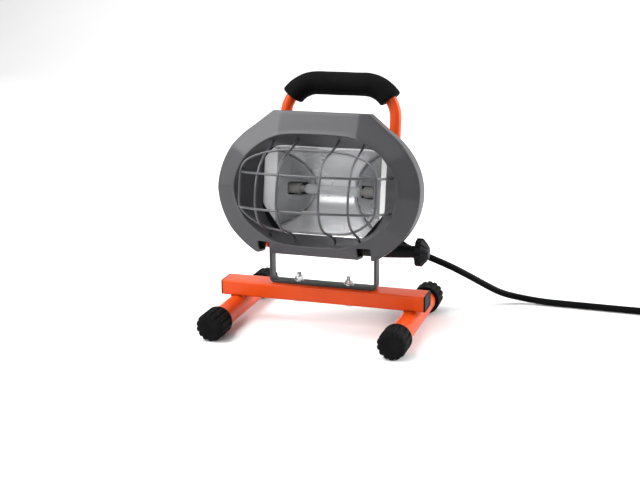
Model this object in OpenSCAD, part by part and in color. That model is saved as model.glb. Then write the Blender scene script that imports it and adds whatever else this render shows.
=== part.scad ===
// Portable halogen work light: a lamp head in a U-shaped yoke on a tube stand.
// Millimetres. +Z up, the lamp faces -Y, origin on the floor under the middle of the stand.

/* [Stand] */
// Length of the crossbar over its end plugs
bar_l = 216; // [180:1:260]
// Depth of the crossbar, front to back
bar_w = 26; // [20:1:32]
// Height of the crossbar
bar_h = 16; // [12:0.5:22]
// Outer diameter of the two foot tubes
foot_d = 22; // [18:0.5:26]
// Distance of each foot tube's axis from the middle
foot_x = 92; // [70:1:100]
// Outer diameter of the rubber foot caps
cap_d = 29.2; // [25:0.2:34]
// Depth over the foot caps, front to back
stand_depth = 172; // [140:1:220]
// Length of one foot cap
cap_l = 27; // [20:1:36]

/* [Yoke] */
// Width of the yoke strip
yoke_w = 13; // [10:0.5:18]
// Thickness of the yoke strip
yoke_t = 2.5; // [2:0.1:4]
// Width over the outside of the yoke
yoke_span = 113; // [100:1:130]
// Height of the tilt axis above the floor
pivot_z = 83.5; // [75:0.5:100]
// Backward tilt of the head as stored
tilt = 9.25; // [0:0.25:15]

/* [Head] */
// Half the width of the shroud
oval_a = 104; // [90:1:115]
// Half the height of the shroud's oval before its flats are cut
oval_b = 81; // [70:1:90]
// Depth of the shroud's side rim
rim_depth = 18; // [12:1:24]
// How far the face bulges forward of the rim
face_bulge = 9; // [5:1:14]
// Wall thickness of the shroud
shroud_t = 2.5; // [2:0.1:3.5]
// Depth of the housing behind the rim
housing_depth = 42; // [36:1:50]
// Diameter of the guard wire
guard_d = 2.4; // [2:0.1:3.5]

/* [Handle] */
// Outer diameter of the handle tube
handle_d = 12; // [10:0.5:16]
// Outer diameter of the foam grip
grip_d = 24; // [20:0.5:28]
// Half the distance between the legs of the handle
handle_x = 58.8; // [56:0.2:64]
// Height of the grip's axis above the tilt axis
handle_z = 163; // [150:1:180]

/* [Cord] */
// Diameter of the mains cord
cord_d = 7; // [6:0.5:9]
// Diameter of the coil at the middle of its turns
coil_d = 74; // [70:1:84]

/* [Hidden] */
$fn = 48;
eps = 0.01;
// Running clearance on a radius, and the gap left between bodies
fit = 0.05;
gap = 0.3;

// Stand
foot_z = cap_d / 2 - 0.3;
bar_z = foot_z + foot_d / 2;
bar_top = bar_z + bar_h;
bar_t = 1.5;
plug_t = 1.5;
tube_t = 1.2;
cap_end = 4;
cap_round = 5;
cap_flutes = 16;
tube_l = stand_depth - 2 * cap_end;
yoke_bolt_x = 26.5;
yoke_bolt_r = 2.5;
yoke_bend = 6;
yoke_in = yoke_span / 2 - yoke_t;

// Pivot
pivot_r = 3;
lug_r = 8;
lug_x = 47;
hoop_end_t = 4;
hoop_end_x = yoke_span / 2 + gap;
washer_t = 1;
knob_x = hoop_end_x + hoop_end_t + washer_t + 0.4;
knob_flange_x = 95.8;
knob_flange_t = 3.8;
knob_tip_x = 109;

// Head, measured from the tilt axis with +Y to the rear and +Z up
face_y = -32;
rim_y = face_y + rim_depth;
crown_y = face_y - face_bulge;
oval_z = 57;
brow_z = 133.5;
sill_z = -8.5;
brow_x = 49;
shoulder_x = 69;
shoulder_z = 117.5;
mouth_a = 81;
mouth_b = 58;
mouth_z = 57;
mouth_top = 110.5;
mouth_sill = 2.5;
mouth_brow_x = 40;
throat_y = -10;
throat_in = 9;
notch_x = 51.5;
notch_w = 13.5;
notch_h = 12.5;
box_front = rim_y + 3;
box_back = rim_y + 3 + housing_depth;
pad_back = box_back + 9;
cast_t = 2.5;
glass_t = 4;
glass_y = throat_y + 0.6;
lamp_y = 22.5;
lamp_z = 54;
boss_y = face_y - 5.5;
shroud_screws = [[-40, 122], [40, 122], [-89, 38], [89, 38]];
// Lower and upper corners of the housing's section, right half
cast_half = [[47, 0.5], [75, 36], [75, 88], [57, 108]];
cast_round = 12;

// Wiring box on the back of the housing
wire_box_x = 32;
wire_box_z0 = 20;
wire_box_z1 = 80;
box_screw_at = [[-24, 46], [24, 46], [-24, 64], [24, 64]];
cover_screw_at = [[-26, 26], [-26, 74], [26, 74], [14, 26]];
ground_screw_at = [-14, 32];
screw_r = 1.5;
lead_hole_r = 5.5;
wire_box_y = pad_back + 24;
wire_box_cut = 18;
cover_t = 2;
relief_angle = 31;
relief_l = 36;
relief_y = 53;
switch_z = 54;
rocker_w = 13;
rocker_h = 19;
rocker_r = 14;

// Handle
hoop_r = 34;
hoop_foot_r = 10;
hoop_y = 38.5;
hoop_flat_y = 24;
hoop_flat_r = 7;
hoop_round_y = 28;
grip_turn = 55;
grip_lap = 0.8;

// Cord: the middle of its route, from the strain relief to the coil
cord_r = cord_d / 2;
coil_x = 372;
coil_y = 158;
coil_h = 20;
coil_w = 15;
tie_t = 0.9;
plug_r = 13;
plug_l = 22;
plug_taper = 14;
blade_l = 16;

// ---------------------------------------------------------------- helpers

// Moves its children from the head's own frame to where the head stands
module on_head() {
    translate([0, 0, pivot_z])
        rotate([-tilt, 0, 0])
            children();
}

// Extrudes a section drawn in X and Z forward from y by depth
module slab(y, depth) {
    translate([0, y, 0])
        rotate([90, 0, 0])
            linear_extrude(depth)
                children();
}

// A cylinder along X from x0 to x1
module x_rod(x0, x1, r) {
    translate([x0, 0, 0])
        rotate([0, 90, 0])
            cylinder(h = x1 - x0, r = r);
}

// A cylinder along Y from y0 to y1
module y_rod(y0, y1, r) {
    translate([0, y1, 0])
        rotate([90, 0, 0])
            cylinder(h = y1 - y0, r = r);
}

// A rectangle with round corners, built from exact arcs
module round_rect(w, h, r) {
    square([w - 2 * r, h], center = true);
    square([w, h - 2 * r], center = true);
    for (x = [-1, 1], y = [-1, 1])
        translate([x * (w / 2 - r), y * (h / 2 - r)])
            circle(r);
}

// A hexagon prism along Z across flats af
module hex(af, h) {
    cylinder(h = h, d = af / cos(30), $fn = 6);
}

// Both sides of the object
module both_sides() {
    children();
    mirror([1, 0, 0])
        children();
}

// Corner cutting for open and closed routes
function cut_open(p) = concat([p[0]],
    [for (i = [0 : len(p) - 2]) each [0.75 * p[i] + 0.25 * p[i + 1], 0.25 * p[i] + 0.75 * p[i + 1]]],
    [p[len(p) - 1]]);
function cut_closed(p) = [for (i = [0 : len(p) - 1]) let (q = p[(i + 1) % len(p)])
    each [0.75 * p[i] + 0.25 * q, 0.25 * p[i] + 0.75 * q]];
function unit(v) = v / norm(v);
function way(p, i, closed) = let (n = len(p))
    closed ? unit(p[(i + 1) % n] - p[(i + n - 1) % n])
    : i == 0 ? unit(p[1] - p[0])
    : i == n - 1 ? unit(p[i] - p[i - 1])
    : unit(p[i + 1] - p[i - 1]);

// A round wire along a route; side is any direction the route never runs along
module wire(p, r, side, sides = 8, closed = false) {
    n = len(p);
    rings = [for (i = [0 : n - 1])
        let (t = way(p, i, closed), a = unit(cross(t, side)), b = cross(t, a))
        for (k = [0 : sides - 1]) p[i] + r * (cos(360 * k / sides) * a + sin(360 * k / sides) * b)];
    last = closed ? n - 1 : n - 2;
    walls = [for (i = [0 : last], k = [0 : sides - 1])
        let (j = (i + 1) % n, m = (k + 1) % sides)
        [i * sides + k, j * sides + k, j * sides + m, i * sides + m]];
    ends = closed ? [] : [[for (k = [0 : sides - 1]) k],
        [for (k = [sides - 1 : -1 : 0]) (n - 1) * sides + k]];
    polyhedron(rings, concat(walls, ends), convexity = 8);
}

// ---------------------------------------------------------------- stand

module bar_section() {
    translate([0, bar_z + bar_h / 2])
        children();
}

module crossbar() {
    inner = bar_l / 2 - plug_t;
    color("orangered")
        difference() {
            translate([-inner, 0, 0])
                rotate([90, 0, 90])
                    linear_extrude(2 * inner)
                        difference() {
                            bar_section()
                                round_rect(bar_w, bar_h, 2.5);
                            bar_section()
                                round_rect(bar_w - 2 * bar_t, bar_h - 2 * bar_t, 1);
                        }
            for (x = [-yoke_bolt_x, yoke_bolt_x])
                translate([x, 0, bar_z - 1])
                    cylinder(h = bar_h + 2, r = yoke_bolt_r + fit);
        }
}

module crossbar_plug() {
    inner = bar_l / 2 - plug_t;
    difference() {
        union() {
            translate([inner, 0, 0])
                rotate([90, 0, 90])
                    linear_extrude(plug_t)
                        bar_section()
                            round_rect(bar_w, bar_h, 2.5);
            translate([inner - 12, 0, 0])
                rotate([90, 0, 90])
                    linear_extrude(12)
                        bar_section()
                            round_rect(bar_w - 2 * bar_t - 2 * fit, bar_h - 2 * bar_t - 2 * fit, 0.9);
        }
        translate([inner - 13, 0, 0])
            rotate([90, 0, 90])
                linear_extrude(12)
                    bar_section()
                        round_rect(bar_w - 7, bar_h - 7, 0.8);
        translate([inner + plug_t - 0.6, 0, 0])
            rotate([90, 0, 90])
                linear_extrude(1)
                    bar_section()
                        round_rect(bar_w - 5, bar_h - 5, 1.5);
    }
}

module crossbar_plugs() {
    color("#202020")
        both_sides()
            crossbar_plug();
}

module foot_tube(side) {
    color("orangered")
        translate([side * foot_x, 0, foot_z])
            difference() {
                y_rod(-tube_l / 2, tube_l / 2, foot_d / 2);
                y_rod(-tube_l / 2 - 1, tube_l / 2 + 1, foot_d / 2 - tube_t);
            }
}

// Weld beads in the wedge between a foot tube and the crossbar
module foot_welds() {
    color("orangered")
        for (side = [-1, 1], edge = [-1, 1])
            translate([side * foot_x, 0, foot_z])
                difference() {
                    translate([edge * 4.5 - 2, -bar_w / 2 + 3, foot_d / 2 - 3])
                        cube([4, bar_w - 6, 3]);
                    y_rod(-bar_w, bar_w, foot_d / 2);
                }
}

// Rubber cap over a tube end; end is -1 for the front and 1 for the rear
module foot_cap(side, end) {
    r = cap_d / 2;
    color("#1b1b1b")
        translate([side * foot_x, 0, foot_z])
            rotate([end * 90 + 180, 0, 0])
                difference() {
                    translate([0, 0, stand_depth / 2 - cap_l])
                        rotate_extrude()
                            union() {
                                square([r - cap_round, cap_l]);
                                square([r, cap_l - cap_round]);
                                translate([r - cap_round, cap_l - cap_round])
                                    circle(cap_round);
                            }
                    translate([0, 0, stand_depth / 2 - cap_l - 1])
                        cylinder(h = cap_l + 1 - cap_end, r = foot_d / 2 + fit);
                    for (k = [0 : cap_flutes - 1])
                        rotate([0, 0, 360 / cap_flutes * (k + 0.5)])
                            translate([r + 0.9, 0, stand_depth / 2 - cap_l + 3])
                                cylinder(h = cap_l, r = 2, $fn = 24);
                    translate([-r, end * (foot_z + 1) - 1, 0])
                        cube([cap_d, 2, stand_depth]);
                }
}

module yoke_holes() {
    for (x = [-yoke_bolt_x, yoke_bolt_x])
        translate([x, 0, bar_top - 1])
            cylinder(h = 6, r = yoke_bolt_r + fit);
    translate([0, 0, pivot_z])
        x_rod(-yoke_span, yoke_span, pivot_r + fit);
}

module yoke_leg() {
    half = yoke_span / 2;
    translate([yoke_in, -yoke_w / 2, bar_top + yoke_bend])
        cube([yoke_t, yoke_w, pivot_z - bar_top - yoke_bend]);
    translate([0, 0, pivot_z])
        x_rod(yoke_in, half, yoke_w / 2);
    translate([half - yoke_bend, yoke_w / 2, bar_top + yoke_bend])
        rotate([90, 0, 0])
            rotate([0, 0, -90])
                rotate_extrude(angle = 90)
                    translate([yoke_bend - yoke_t, 0])
                        square([yoke_t, yoke_w]);
}

module yoke() {
    half = yoke_span / 2;
    color("#6e6e70")
        difference() {
            union() {
                translate([-half + yoke_bend, -yoke_w / 2, bar_top])
                    cube([yoke_span - 2 * yoke_bend, yoke_w, yoke_t]);
                both_sides()
                    yoke_leg();
            }
            yoke_holes();
        }
}

module yoke_bolts() {
    color("#b9bbbd")
        for (x = [-yoke_bolt_x, yoke_bolt_x])
            translate([x, 0, bar_z]) {
                translate([0, 0, -3.5])
                    hex(8, 3.5);
                cylinder(h = bar_h + yoke_t + 9, r = yoke_bolt_r);
            }
}

module yoke_washers() {
    color("#b9bbbd")
        for (x = [-yoke_bolt_x, yoke_bolt_x])
            translate([x, 0, bar_top + yoke_t])
                difference() {
                    cylinder(h = 1, r = 5);
                    translate([0, 0, -1])
                        cylinder(h = 3, r = yoke_bolt_r + fit);
                }
}

module yoke_nuts() {
    color("#b9bbbd")
        for (x = [-yoke_bolt_x, yoke_bolt_x])
            translate([x, 0, bar_top + yoke_t + 1])
                difference() {
                    hex(8, 4);
                    translate([0, 0, -1])
                        cylinder(h = 6, r = yoke_bolt_r + fit);
                }
}

// ---------------------------------------------------------------- head: sections

// Outlines of the head are given as distances from (0, oval_z) along a direction
function ellipse_at(d, a, b) = 1 / sqrt(pow(d[0] / a, 2) + pow(d[1] / b, 2));

// Distance along d to the line through p and q, or a long way if d runs away from it
function line_at(d, p, q) = let (n = [p[1] - q[1], q[0] - p[0]], s = n * d)
    s <= 0 ? 999 : (n * (p - [0, oval_z])) / s;

// An oval with a straight brow and sill; brow runs from its corner to its shoulder
function browed_at(d, a, b, top, sill, corner, shoulder) =
    let (e = [abs(d[0]), d[1]],
        slope = line_at(e, corner, shoulder),
        tall = e * [1, 0] > 0 && slope < 999 && above(e, shoulder) ? slope : 0,
        up = d[1] > 0 ? (top - oval_z) / d[1] : 999,
        down = d[1] < 0 ? (sill - oval_z) / d[1] : 999)
    min(max(ellipse_at(e, a, b), tall), up, down);
function above(e, q) = let (v = q - [0, oval_z]) e[0] * v[1] - e[1] * v[0] <= 0;

function oval_at(d) = browed_at(d, oval_a, oval_b, brow_z, sill_z,
    [brow_x, brow_z], [shoulder_x, shoulder_z]);
function mouth_at(d) = browed_at(d, mouth_a, mouth_b, mouth_top, mouth_sill,
    [mouth_brow_x, mouth_top], [mouth_a * 0.75, mouth_z + mouth_b * 0.66]);

// Distance to the housing's section along d; the throat is this drawn smaller by throat_in
function cast_at(d, inset) = let (e = [abs(d[0]), d[1]], h = cast_half)
    min(line_at(e, h[1], h[0]), line_at(e, h[2], h[1]), line_at(e, h[3], h[2]),
        d[1] > 0 ? (h[3][1] - oval_z) / d[1] : 999, d[1] < 0 ? (h[0][1] - oval_z) / d[1] : 999) - inset;

head_turns = [for (k = [0 : 119]) [cos(3 * k), sin(3 * k)]];
function oval_ring(inset, y) = [for (d = head_turns) place(d, oval_at(d) - inset, y)];
function mouth_ring(grow, y) = [for (d = head_turns) place(d, mouth_at(d) + grow, y)];
function throat_ring(grow, y) = [for (d = head_turns) place(d, cast_at(d, throat_in - grow), y)];
function place(d, r, y) = [r * d[0], y, oval_z + r * d[1]];

module oval(inset = 0) {
    polygon([for (q = oval_ring(inset, 0)) [q[0], q[2]]]);
}

// A closed skin through rings of equally many points, the last joined to the first
module ring_skin(rings) {
    n = len(rings[0]);
    polyhedron([for (ring = rings) each ring],
        [for (i = [0 : len(rings) - 1], k = [0 : n - 1])
            let (j = (i + 1) % len(rings), m = (k + 1) % n)
            [i * n + k, j * n + k, j * n + m, i * n + m]], convexity = 10);
}

// The housing's section, drawn smaller by inset; the lens and the throat follow it
module cast_section(inset = 0) {
    n = len(cast_half);
    offset(r = cast_round, $fn = 32)
        offset(delta = -cast_round - inset)
            polygon(concat(cast_half, [for (i = [n - 1 : -1 : 0]) [-cast_half[i][0], cast_half[i][1]]]));
}

// ---------------------------------------------------------------- head: parts

// Rim, bulging face and tapered recess of the shroud as one wall
module shroud_wall() {
    ring_skin([
        oval_ring(0, rim_y),
        oval_ring(0, face_y),
        oval_ring(3, face_y - 0.42 * face_bulge),
        oval_ring(8, face_y - 0.75 * face_bulge),
        mouth_ring(6, crown_y + 0.6),
        mouth_ring(1.5, crown_y),
        mouth_ring(0, crown_y + 0.6),
        throat_ring(0, throat_y),
        throat_ring(shroud_t, throat_y),
        mouth_ring(shroud_t, crown_y + 3.4),
        mouth_ring(6, crown_y + 3.2),
        oval_ring(9, face_y - 0.75 * face_bulge + shroud_t),
        oval_ring(shroud_t, face_y + 0.8),
        oval_ring(shroud_t, rim_y)]);
}

module front_shroud() {
    color("#6a6a6d")
        difference() {
            union() {
                shroud_wall();
                for (s = shroud_screws)
                    translate([s[0], 0, s[1]])
                        y_rod(boss_y, rim_y, 4, $fn = 24);
            }
            for (s = shroud_screws)
                translate([s[0], 0, s[1]])
                    y_rod(face_y + 5, rim_y + 1, 1.5, $fn = 24);
            for (side = [-1, 1])
                translate([side * notch_x - notch_w / 2, crown_y - 1, sill_z - 1])
                    cube([notch_w, rim_y - crown_y + 8, notch_h + 1]);
        }
}

// Raised pad behind the reflector's deepest part, which carries the wiring box
module pad_section(inset) {
    translate([0, (wire_box_z0 + wire_box_z1) / 2])
        round_rect(2 * (wire_box_x + 2 - inset), wire_box_z1 - wire_box_z0 + 4 - 2 * inset, 6);
}

// Cast flange and box of the housing, with the lugs that the yoke clamps
module housing() {
    color("#1e1e20")
        difference() {
            union() {
                slab(box_front, box_front - rim_y)
                    oval(0.6);
                slab(box_back, box_back - box_front)
                    cast_section(0);
                both_sides()
                    x_rod(lug_x - 8, yoke_in - gap, lug_r);
                both_sides()
                    translate([lug_x - 8, -lug_r, 0])
                        cube([yoke_in - gap - lug_x + 8, 2 * lug_r, 6]);
                for (k = [-3 : 3])
                    translate([k * 12 - 1.25, box_front + 4, 106])
                        cube([2.5, housing_depth - 8, 8]);
                for (k = [0 : 3])
                    translate([-40, box_back - 1, wire_box_z1 + 4 + k * 6])
                        cube([80, 6, 2]);
                slab(pad_back, pad_back - box_back + 1)
                    pad_section(0);
            }
            slab(box_back - cast_t, box_back - rim_y)
                cast_section(cast_t);
            slab(pad_back - cast_t, pad_back - box_back + 1)
                pad_section(cast_t);
            for (side = [-1, 1])
                translate([side * notch_x - notch_w / 2, rim_y - 1, sill_z - 2])
                    cube([notch_w, 5, notch_h + 2]);
            for (s = shroud_screws)
                translate([s[0], 0, s[1]])
                    y_rod(rim_y - 1, box_front + 1, 2);
            translate([0, pad_back, lamp_z - 10])
                y_rod(-5, 5, lead_hole_r);
            both_sides()
                x_rod(lug_x - 20, yoke_span, pivot_r + fit);
            both_sides()
                translate([lug_x - 12, -4.2, -4.2])
                    cube([6, 8.4, 8.4]);
            for (s = box_screw_at)
                translate([s[0], pad_back, s[1]])
                    y_rod(-5, 5, screw_r);
            translate([ground_screw_at[0], pad_back, ground_screw_at[1]])
                y_rod(-5, 5, screw_r);
        }
}

module shroud_screws() {
    color("#8c8c8e")
        for (s = shroud_screws)
            translate([s[0], 0, s[1]]) {
                y_rod(box_front, box_front + 2.2, 3.5);
                y_rod(face_y + 7, box_front + eps, 1.5 - fit);
            }
}

// Guard wires in the head's frame: forward of the face plane, and height
function guard_y(off) = face_y - off;
function upright(x, p) = [for (q = p) [x, guard_y(q[0]), q[1]]];
function across(z, p) = concat([for (q = p) [-q[0], guard_y(q[1]), z]],
    [for (i = [len(p) - 1 : -1 : 0]) [p[i][0], guard_y(p[i][1]), z]]);
inner_bars = [[-1, 108.5], [0, 105], [22, 96], [44, 90], [57, 76], [59.5, 56], [58.5, 38],
    [45, 22], [18, 15.5], [0, 10.5], [-1, 5.5]];
outer_bars = [[0, 103.5], [4, 99.5], [25, 91], [39, 80], [46, 67], [48, 54], [47, 40],
    [36, 25], [14, 16.5], [2, 12.5], [0, 8.5]];
cross_bars = [[79.5, -7], [76.5, 2], [70, 28], [58, 40], [40, 50], [20, 57]];
rim_bar = [[0, 20, 96], [30, 20, 96], [48, 23, 92], [62, 28, 86], [68, 31, 78], [68.5, 31, 66],
    [68.5, 31, 44], [67.5, 30, 38], [61, 26, 30], [48, 20, 21], [32, 17, 16.5], [0, 17, 16.5]];

function mirrored_ring(p) = concat([for (q = p) [q[0], guard_y(q[1]), q[2]]],
    [for (i = [len(p) - 2 : -1 : 1]) [-p[i][0], guard_y(p[i][1]), p[i][2]]]);

module wire_guard() {
    r = guard_d / 2;
    color("#9a9a9c")
        union() {
            wire(cut_closed(mirrored_ring(rim_bar)), r, [0, 1, 0], closed = true);
            for (x = [-20.7, 20.7])
                wire(cut_open(upright(x, inner_bars)), r, [1, 0, 0]);
            for (x = [-46, 46])
                wire(cut_open(upright(x, outer_bars)), r, [1, 0, 0]);
            for (z = [73, 39])
                wire(cut_open(across(z, cross_bars)), r, [0, 0, 1]);
        }
}

module lens_glass() {
    color("#cfe3e8", 0.4)
        slab(glass_y + glass_t, glass_t)
            cast_section(6.2);
}

module lens_gasket() {
    color("#303030")
        difference() {
            slab(glass_y + glass_t + 1.5, glass_t + 2)
                cast_section(cast_t + 0.2);
            slab(glass_y + glass_t, glass_t)
                cast_section(6.2);
            slab(glass_y + glass_t + 2, glass_t + 4)
                cast_section(throat_in);
        }
}

// Trough of the reflector: half height, front and back, and half lengths at the front, the fold and the back
trough_h = 40;
trough_y0 = glass_y + glass_t + 2;
trough_y1 = pad_back - cast_t - 1.5;
trough_x0 = 62;
trough_fold = [57, 2];
trough_x1 = 22;
trough_curve = 2.4;
sheet = 0.8;
lamp_hole_y = 7.5;
lamp_hole_z = 6.5;

function bowl(h, y1, deep) = [for (k = [-12 : 12])
    let (s = k / 12) [y1 - deep * pow(abs(s), trough_curve), lamp_z + h * s]];

module trough(h, y1, deep, half) {
    translate([-half, 0, 0])
        rotate([90, 0, 90])
            linear_extrude(2 * half)
                polygon(bowl(h, y1, deep));
}

module trough_ends(shift) {
    for (side = [0, 1])
        mirror([side, 0, 0])
            translate([0, 0, lamp_z - trough_h - 4])
                linear_extrude(2 * trough_h + 8)
                    polygon([[trough_x0 + shift, trough_y0 - eps], [90, trough_y0 - 1], [90, trough_y1 + 2],
                        [trough_x1 + shift, trough_y1 + 2], [trough_x1 + shift, trough_y1],
                        [trough_fold[0] + shift, trough_fold[1]]]);
}

// Parabolic trough closed by two slanted ends, its corners cut to the housing's section
module reflector() {
    deep = trough_y1 - trough_y0;
    color("#d6d8da")
        difference() {
            intersection() {
                trough(trough_h + sheet, trough_y1 + sheet, deep + sheet, trough_x0 + 1);
                slab(pad_back, pad_back - box_front)
                    cast_section(cast_t + 0.6);
            }
            difference() {
                trough(trough_h, trough_y1, deep + 0.5, trough_x0 + 3);
                trough_ends(-sheet);
            }
            trough_ends(0);
            translate([-70, lamp_y - lamp_hole_y, lamp_z - lamp_hole_z])
                cube([140, 2 * lamp_hole_y, 2 * lamp_hole_z]);
        }
}

module halogen_lamp() {
    color("#e8eef0", 0.6)
        translate([0, lamp_y, lamp_z])
            union() {
                x_rod(-29, 29, 5);
                x_rod(-33, 33, 2.5);
                x_rod(-37.5, -29.5, 3.4);
                x_rod(29.5, 37.5, 3.4);
                x_rod(-39, 39, 1.2);
            }
}

// Ceramic holder with a spring contact in its mouth
holder_r = 5.6;

module lampholder(side) {
    color("#ece7dc")
        mirror([side < 0 ? 1 : 0, 0, 0])
            translate([0, lamp_y, lamp_z])
                difference() {
                    union() {
                        x_rod(34, 56, holder_r);
                        translate([56, -holder_r, -holder_r])
                            cube([5, 2 * holder_r, 2 * holder_r]);
                    }
                    x_rod(33, 39.2, 4);
                    x_rod(38, 52, 2.6);
                    x_rod(38, 70, 1.4);
                }
}

module lampholder_contacts() {
    color("#b08d4a")
        both_sides()
            translate([0, lamp_y, lamp_z]) {
                x_rod(39, 48, 2.4);
                x_rod(47, 63, 1.1);
            }
}

// Insulated leads from the lampholders, low behind the reflector, to the connector in the wiring box
lead_y = box_back - cast_t - 1.5;
function lead(s) = [[s * 63, lamp_y, lamp_z], [s * 67, lamp_y + 2, lamp_z - 4], [s * 64, lead_y, 36],
    [s * 50, lead_y, 30], [s * 20, lead_y, 29], [s * 6, lead_y + 3, 32], [s * 3.4, pad_back - 4, 41],
    [s * 2.2, pad_back + 1, lamp_z - 10], [s * 3, pad_back + cast_t, lamp_z - 11]];

module lamp_leads() {
    color("#f4f1e6")
        for (s = [-1, 1])
            wire(cut_open(cut_open(lead(s))), 1, [0, 0, 1]);
}

module wire_box_section(inset) {
    x = wire_box_x - inset;
    z0 = wire_box_z0 + inset;
    z1 = wire_box_z1 - inset;
    c = wire_box_cut - inset * 0.6;
    polygon([[-x + 4, z0], [x - c / tan(relief_angle) * 0.5, z0], [x, z0 + c], [x, z1 - 4],
        [x - 4, z1], [-x + 4, z1], [-x, z1 - 4], [-x, z0 + 4]]);
}

module relief_axis() {
    translate([wire_box_x - 6.5, relief_y, wire_box_z0 + 6.5])
        rotate([0, relief_angle, 0])
            children();
}

module wiring_box() {
    color("#1e1e20")
        difference() {
            slab(wire_box_y, wire_box_y - pad_back)
                wire_box_section(0);
            difference() {
                slab(wire_box_y + 1, wire_box_y - pad_back - 1)
                    wire_box_section(cast_t);
                for (s = cover_screw_at)
                    translate([s[0], 0, s[1]])
                        y_rod(pad_back, wire_box_y, 3.6);
            }
            for (s = cover_screw_at)
                translate([s[0], 0, s[1]])
                    y_rod(wire_box_y - 12, wire_box_y + 1, 1.5);
            translate([0, pad_back, lamp_z - 10])
                y_rod(-1, 5, lead_hole_r);
            for (s = box_screw_at)
                translate([s[0], pad_back, s[1]])
                    y_rod(-1, 5, screw_r + fit);
            translate([ground_screw_at[0], pad_back, ground_screw_at[1]])
                y_rod(-1, 5, screw_r);
            relief_axis()
                x_rod(-12, 14, 4.5 + fit);
        }
}

module box_screws() {
    color("#8c8c8e")
        for (s = box_screw_at)
            translate([s[0], pad_back, s[1]]) {
                y_rod(cast_t, cast_t + 2, 2 * screw_r);
                y_rod(-cast_t, cast_t + eps, screw_r - fit);
            }
}

module box_gasket() {
    color("#303030")
        difference() {
            slab(wire_box_y + 0.8, 0.8)
                wire_box_section(0.4);
            slab(wire_box_y + 2, 4)
                wire_box_section(3);
        }
}

module box_cover() {
    color("#1e1e20")
        difference() {
            slab(wire_box_y + 0.8 + cover_t, cover_t)
                wire_box_section(0);
            for (s = cover_screw_at)
                translate([s[0], 0, s[1]])
                    y_rod(wire_box_y, wire_box_y + 5, 2);
            translate([-rocker_w / 2 - 2, wire_box_y - 1, switch_z - rocker_h / 2 - 2])
                cube([rocker_w + 4, 6, rocker_h + 4]);
        }
}

module cover_screws() {
    y = wire_box_y + 0.8 + cover_t;
    color("#8c8c8e")
        for (s = cover_screw_at)
            translate([s[0], 0, s[1]]) {
                difference() {
                    y_rod(y, y + 2, 3.2);
                    translate([-3, y + 1.2, -0.4])
                        cube([6, 1, 0.8]);
                    translate([-0.4, y + 1.2, -3])
                        cube([0.8, 1, 6]);
                }
                y_rod(wire_box_y - 9, y + eps, 1.5 - fit);
            }
}

module connector_block() {
    color("#ece7dc")
        translate([0, pad_back + cast_t + 5, lamp_z - 11])
            difference() {
                translate([-9, -5, -5])
                    cube([18, 10, 8]);
                for (x = [-3, 3])
                    translate([x, 0, 0])
                        y_rod(-6, 6, 1.3);
            }
}

module ground_screw() {
    color("#4f8f4a")
        translate([ground_screw_at[0], pad_back, ground_screw_at[1]]) {
            y_rod(cast_t, cast_t + 2, 2.6);
            y_rod(-cast_t + 0.5, cast_t + eps, screw_r - fit);
        }
}

module switch_body() {
    y = wire_box_y + 0.8 + cover_t;
    color("#161616")
        difference() {
            union() {
                translate([-rocker_w / 2 - 4, y, switch_z - rocker_h / 2 - 4])
                    cube([rocker_w + 8, 1.6, rocker_h + 8]);
                translate([-rocker_w / 2 - 1.8, y - 14, switch_z - rocker_h / 2 - 1.8])
                    cube([rocker_w + 3.6, 14 + eps, rocker_h + 3.6]);
            }
            translate([-rocker_w / 2 - gap, y - 10, switch_z - rocker_h / 2 - gap])
                cube([rocker_w + 2 * gap, 20, rocker_h + 2 * gap]);
            translate([0, y - 6, switch_z])
                x_rod(-rocker_w / 2 - 1.4, rocker_w / 2 + 1.4, 1.2 + fit);
        }
}

// Rocker on its pin, with the pressed end toward the lower edge as stored
module switch_rocker() {
    y = wire_box_y + 0.8 + cover_t;
    color("#101010")
        translate([0, y - 6, switch_z])
            union() {
                x_rod(-rocker_w / 2 - 1.2, rocker_w / 2 + 1.2, 1.2);
                rotate([8, 0, 0])
                    translate([-rocker_w / 2, 0, 0])
                        rotate([90, 0, 90])
                            linear_extrude(rocker_w)
                                polygon([[-2, -7], [3, -9], [8.5, -8.3], [9.6, -5.8], [7.8, 0],
                                    [9.6, 5.8], [8.5, 8.3], [3, 9], [-2, 7]]);
            }
}

module strain_relief() {
    color("#141414")
        relief_axis()
            difference() {
                union() {
                    x_rod(9.5, 12.5, 8);
                    x_rod(-6, 12.5 + eps, 4.5);
                    translate([12.5, 0, 0])
                        rotate([0, 90, 0])
                            cylinder(h = relief_l - 2, r1 = 6.4, r2 = 4.8);
                    x_rod(-8, -5, 6.2);
                }
                x_rod(-9, relief_l + 12, cord_r + fit);
            }
}

// ---------------------------------------------------------------- pivot and handle

module pivot_bolts() {
    color("#b9bbbd")
        union() {
            translate([lug_x - 9.8, -4, -4])
                cube([3.8, 8, 8]);
            x_rod(lug_x - 9, knob_x + 26, pivot_r);
            mirror([1, 0, 0]) {
                translate([lug_x - 9.8, -4, -4])
                    cube([3.8, 8, 8]);
                x_rod(lug_x - 9, hoop_end_x + hoop_end_t + washer_t + 7, pivot_r);
            }
        }
}

module pivot_washers() {
    x = hoop_end_x + hoop_end_t;
    color("#b9bbbd")
        both_sides()
            difference() {
                x_rod(x, x + washer_t, 7);
                x_rod(x - 1, x + 3, pivot_r + fit);
            }
}

module pivot_nut() {
    x = hoop_end_x + hoop_end_t + washer_t;
    color("#b9bbbd")
        mirror([1, 0, 0])
            difference() {
                translate([x, 0, 0])
                    rotate([0, 90, 0])
                        hex(10, 5);
                x_rod(x - 1, x + 6, pivot_r + fit);
            }
}

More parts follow.
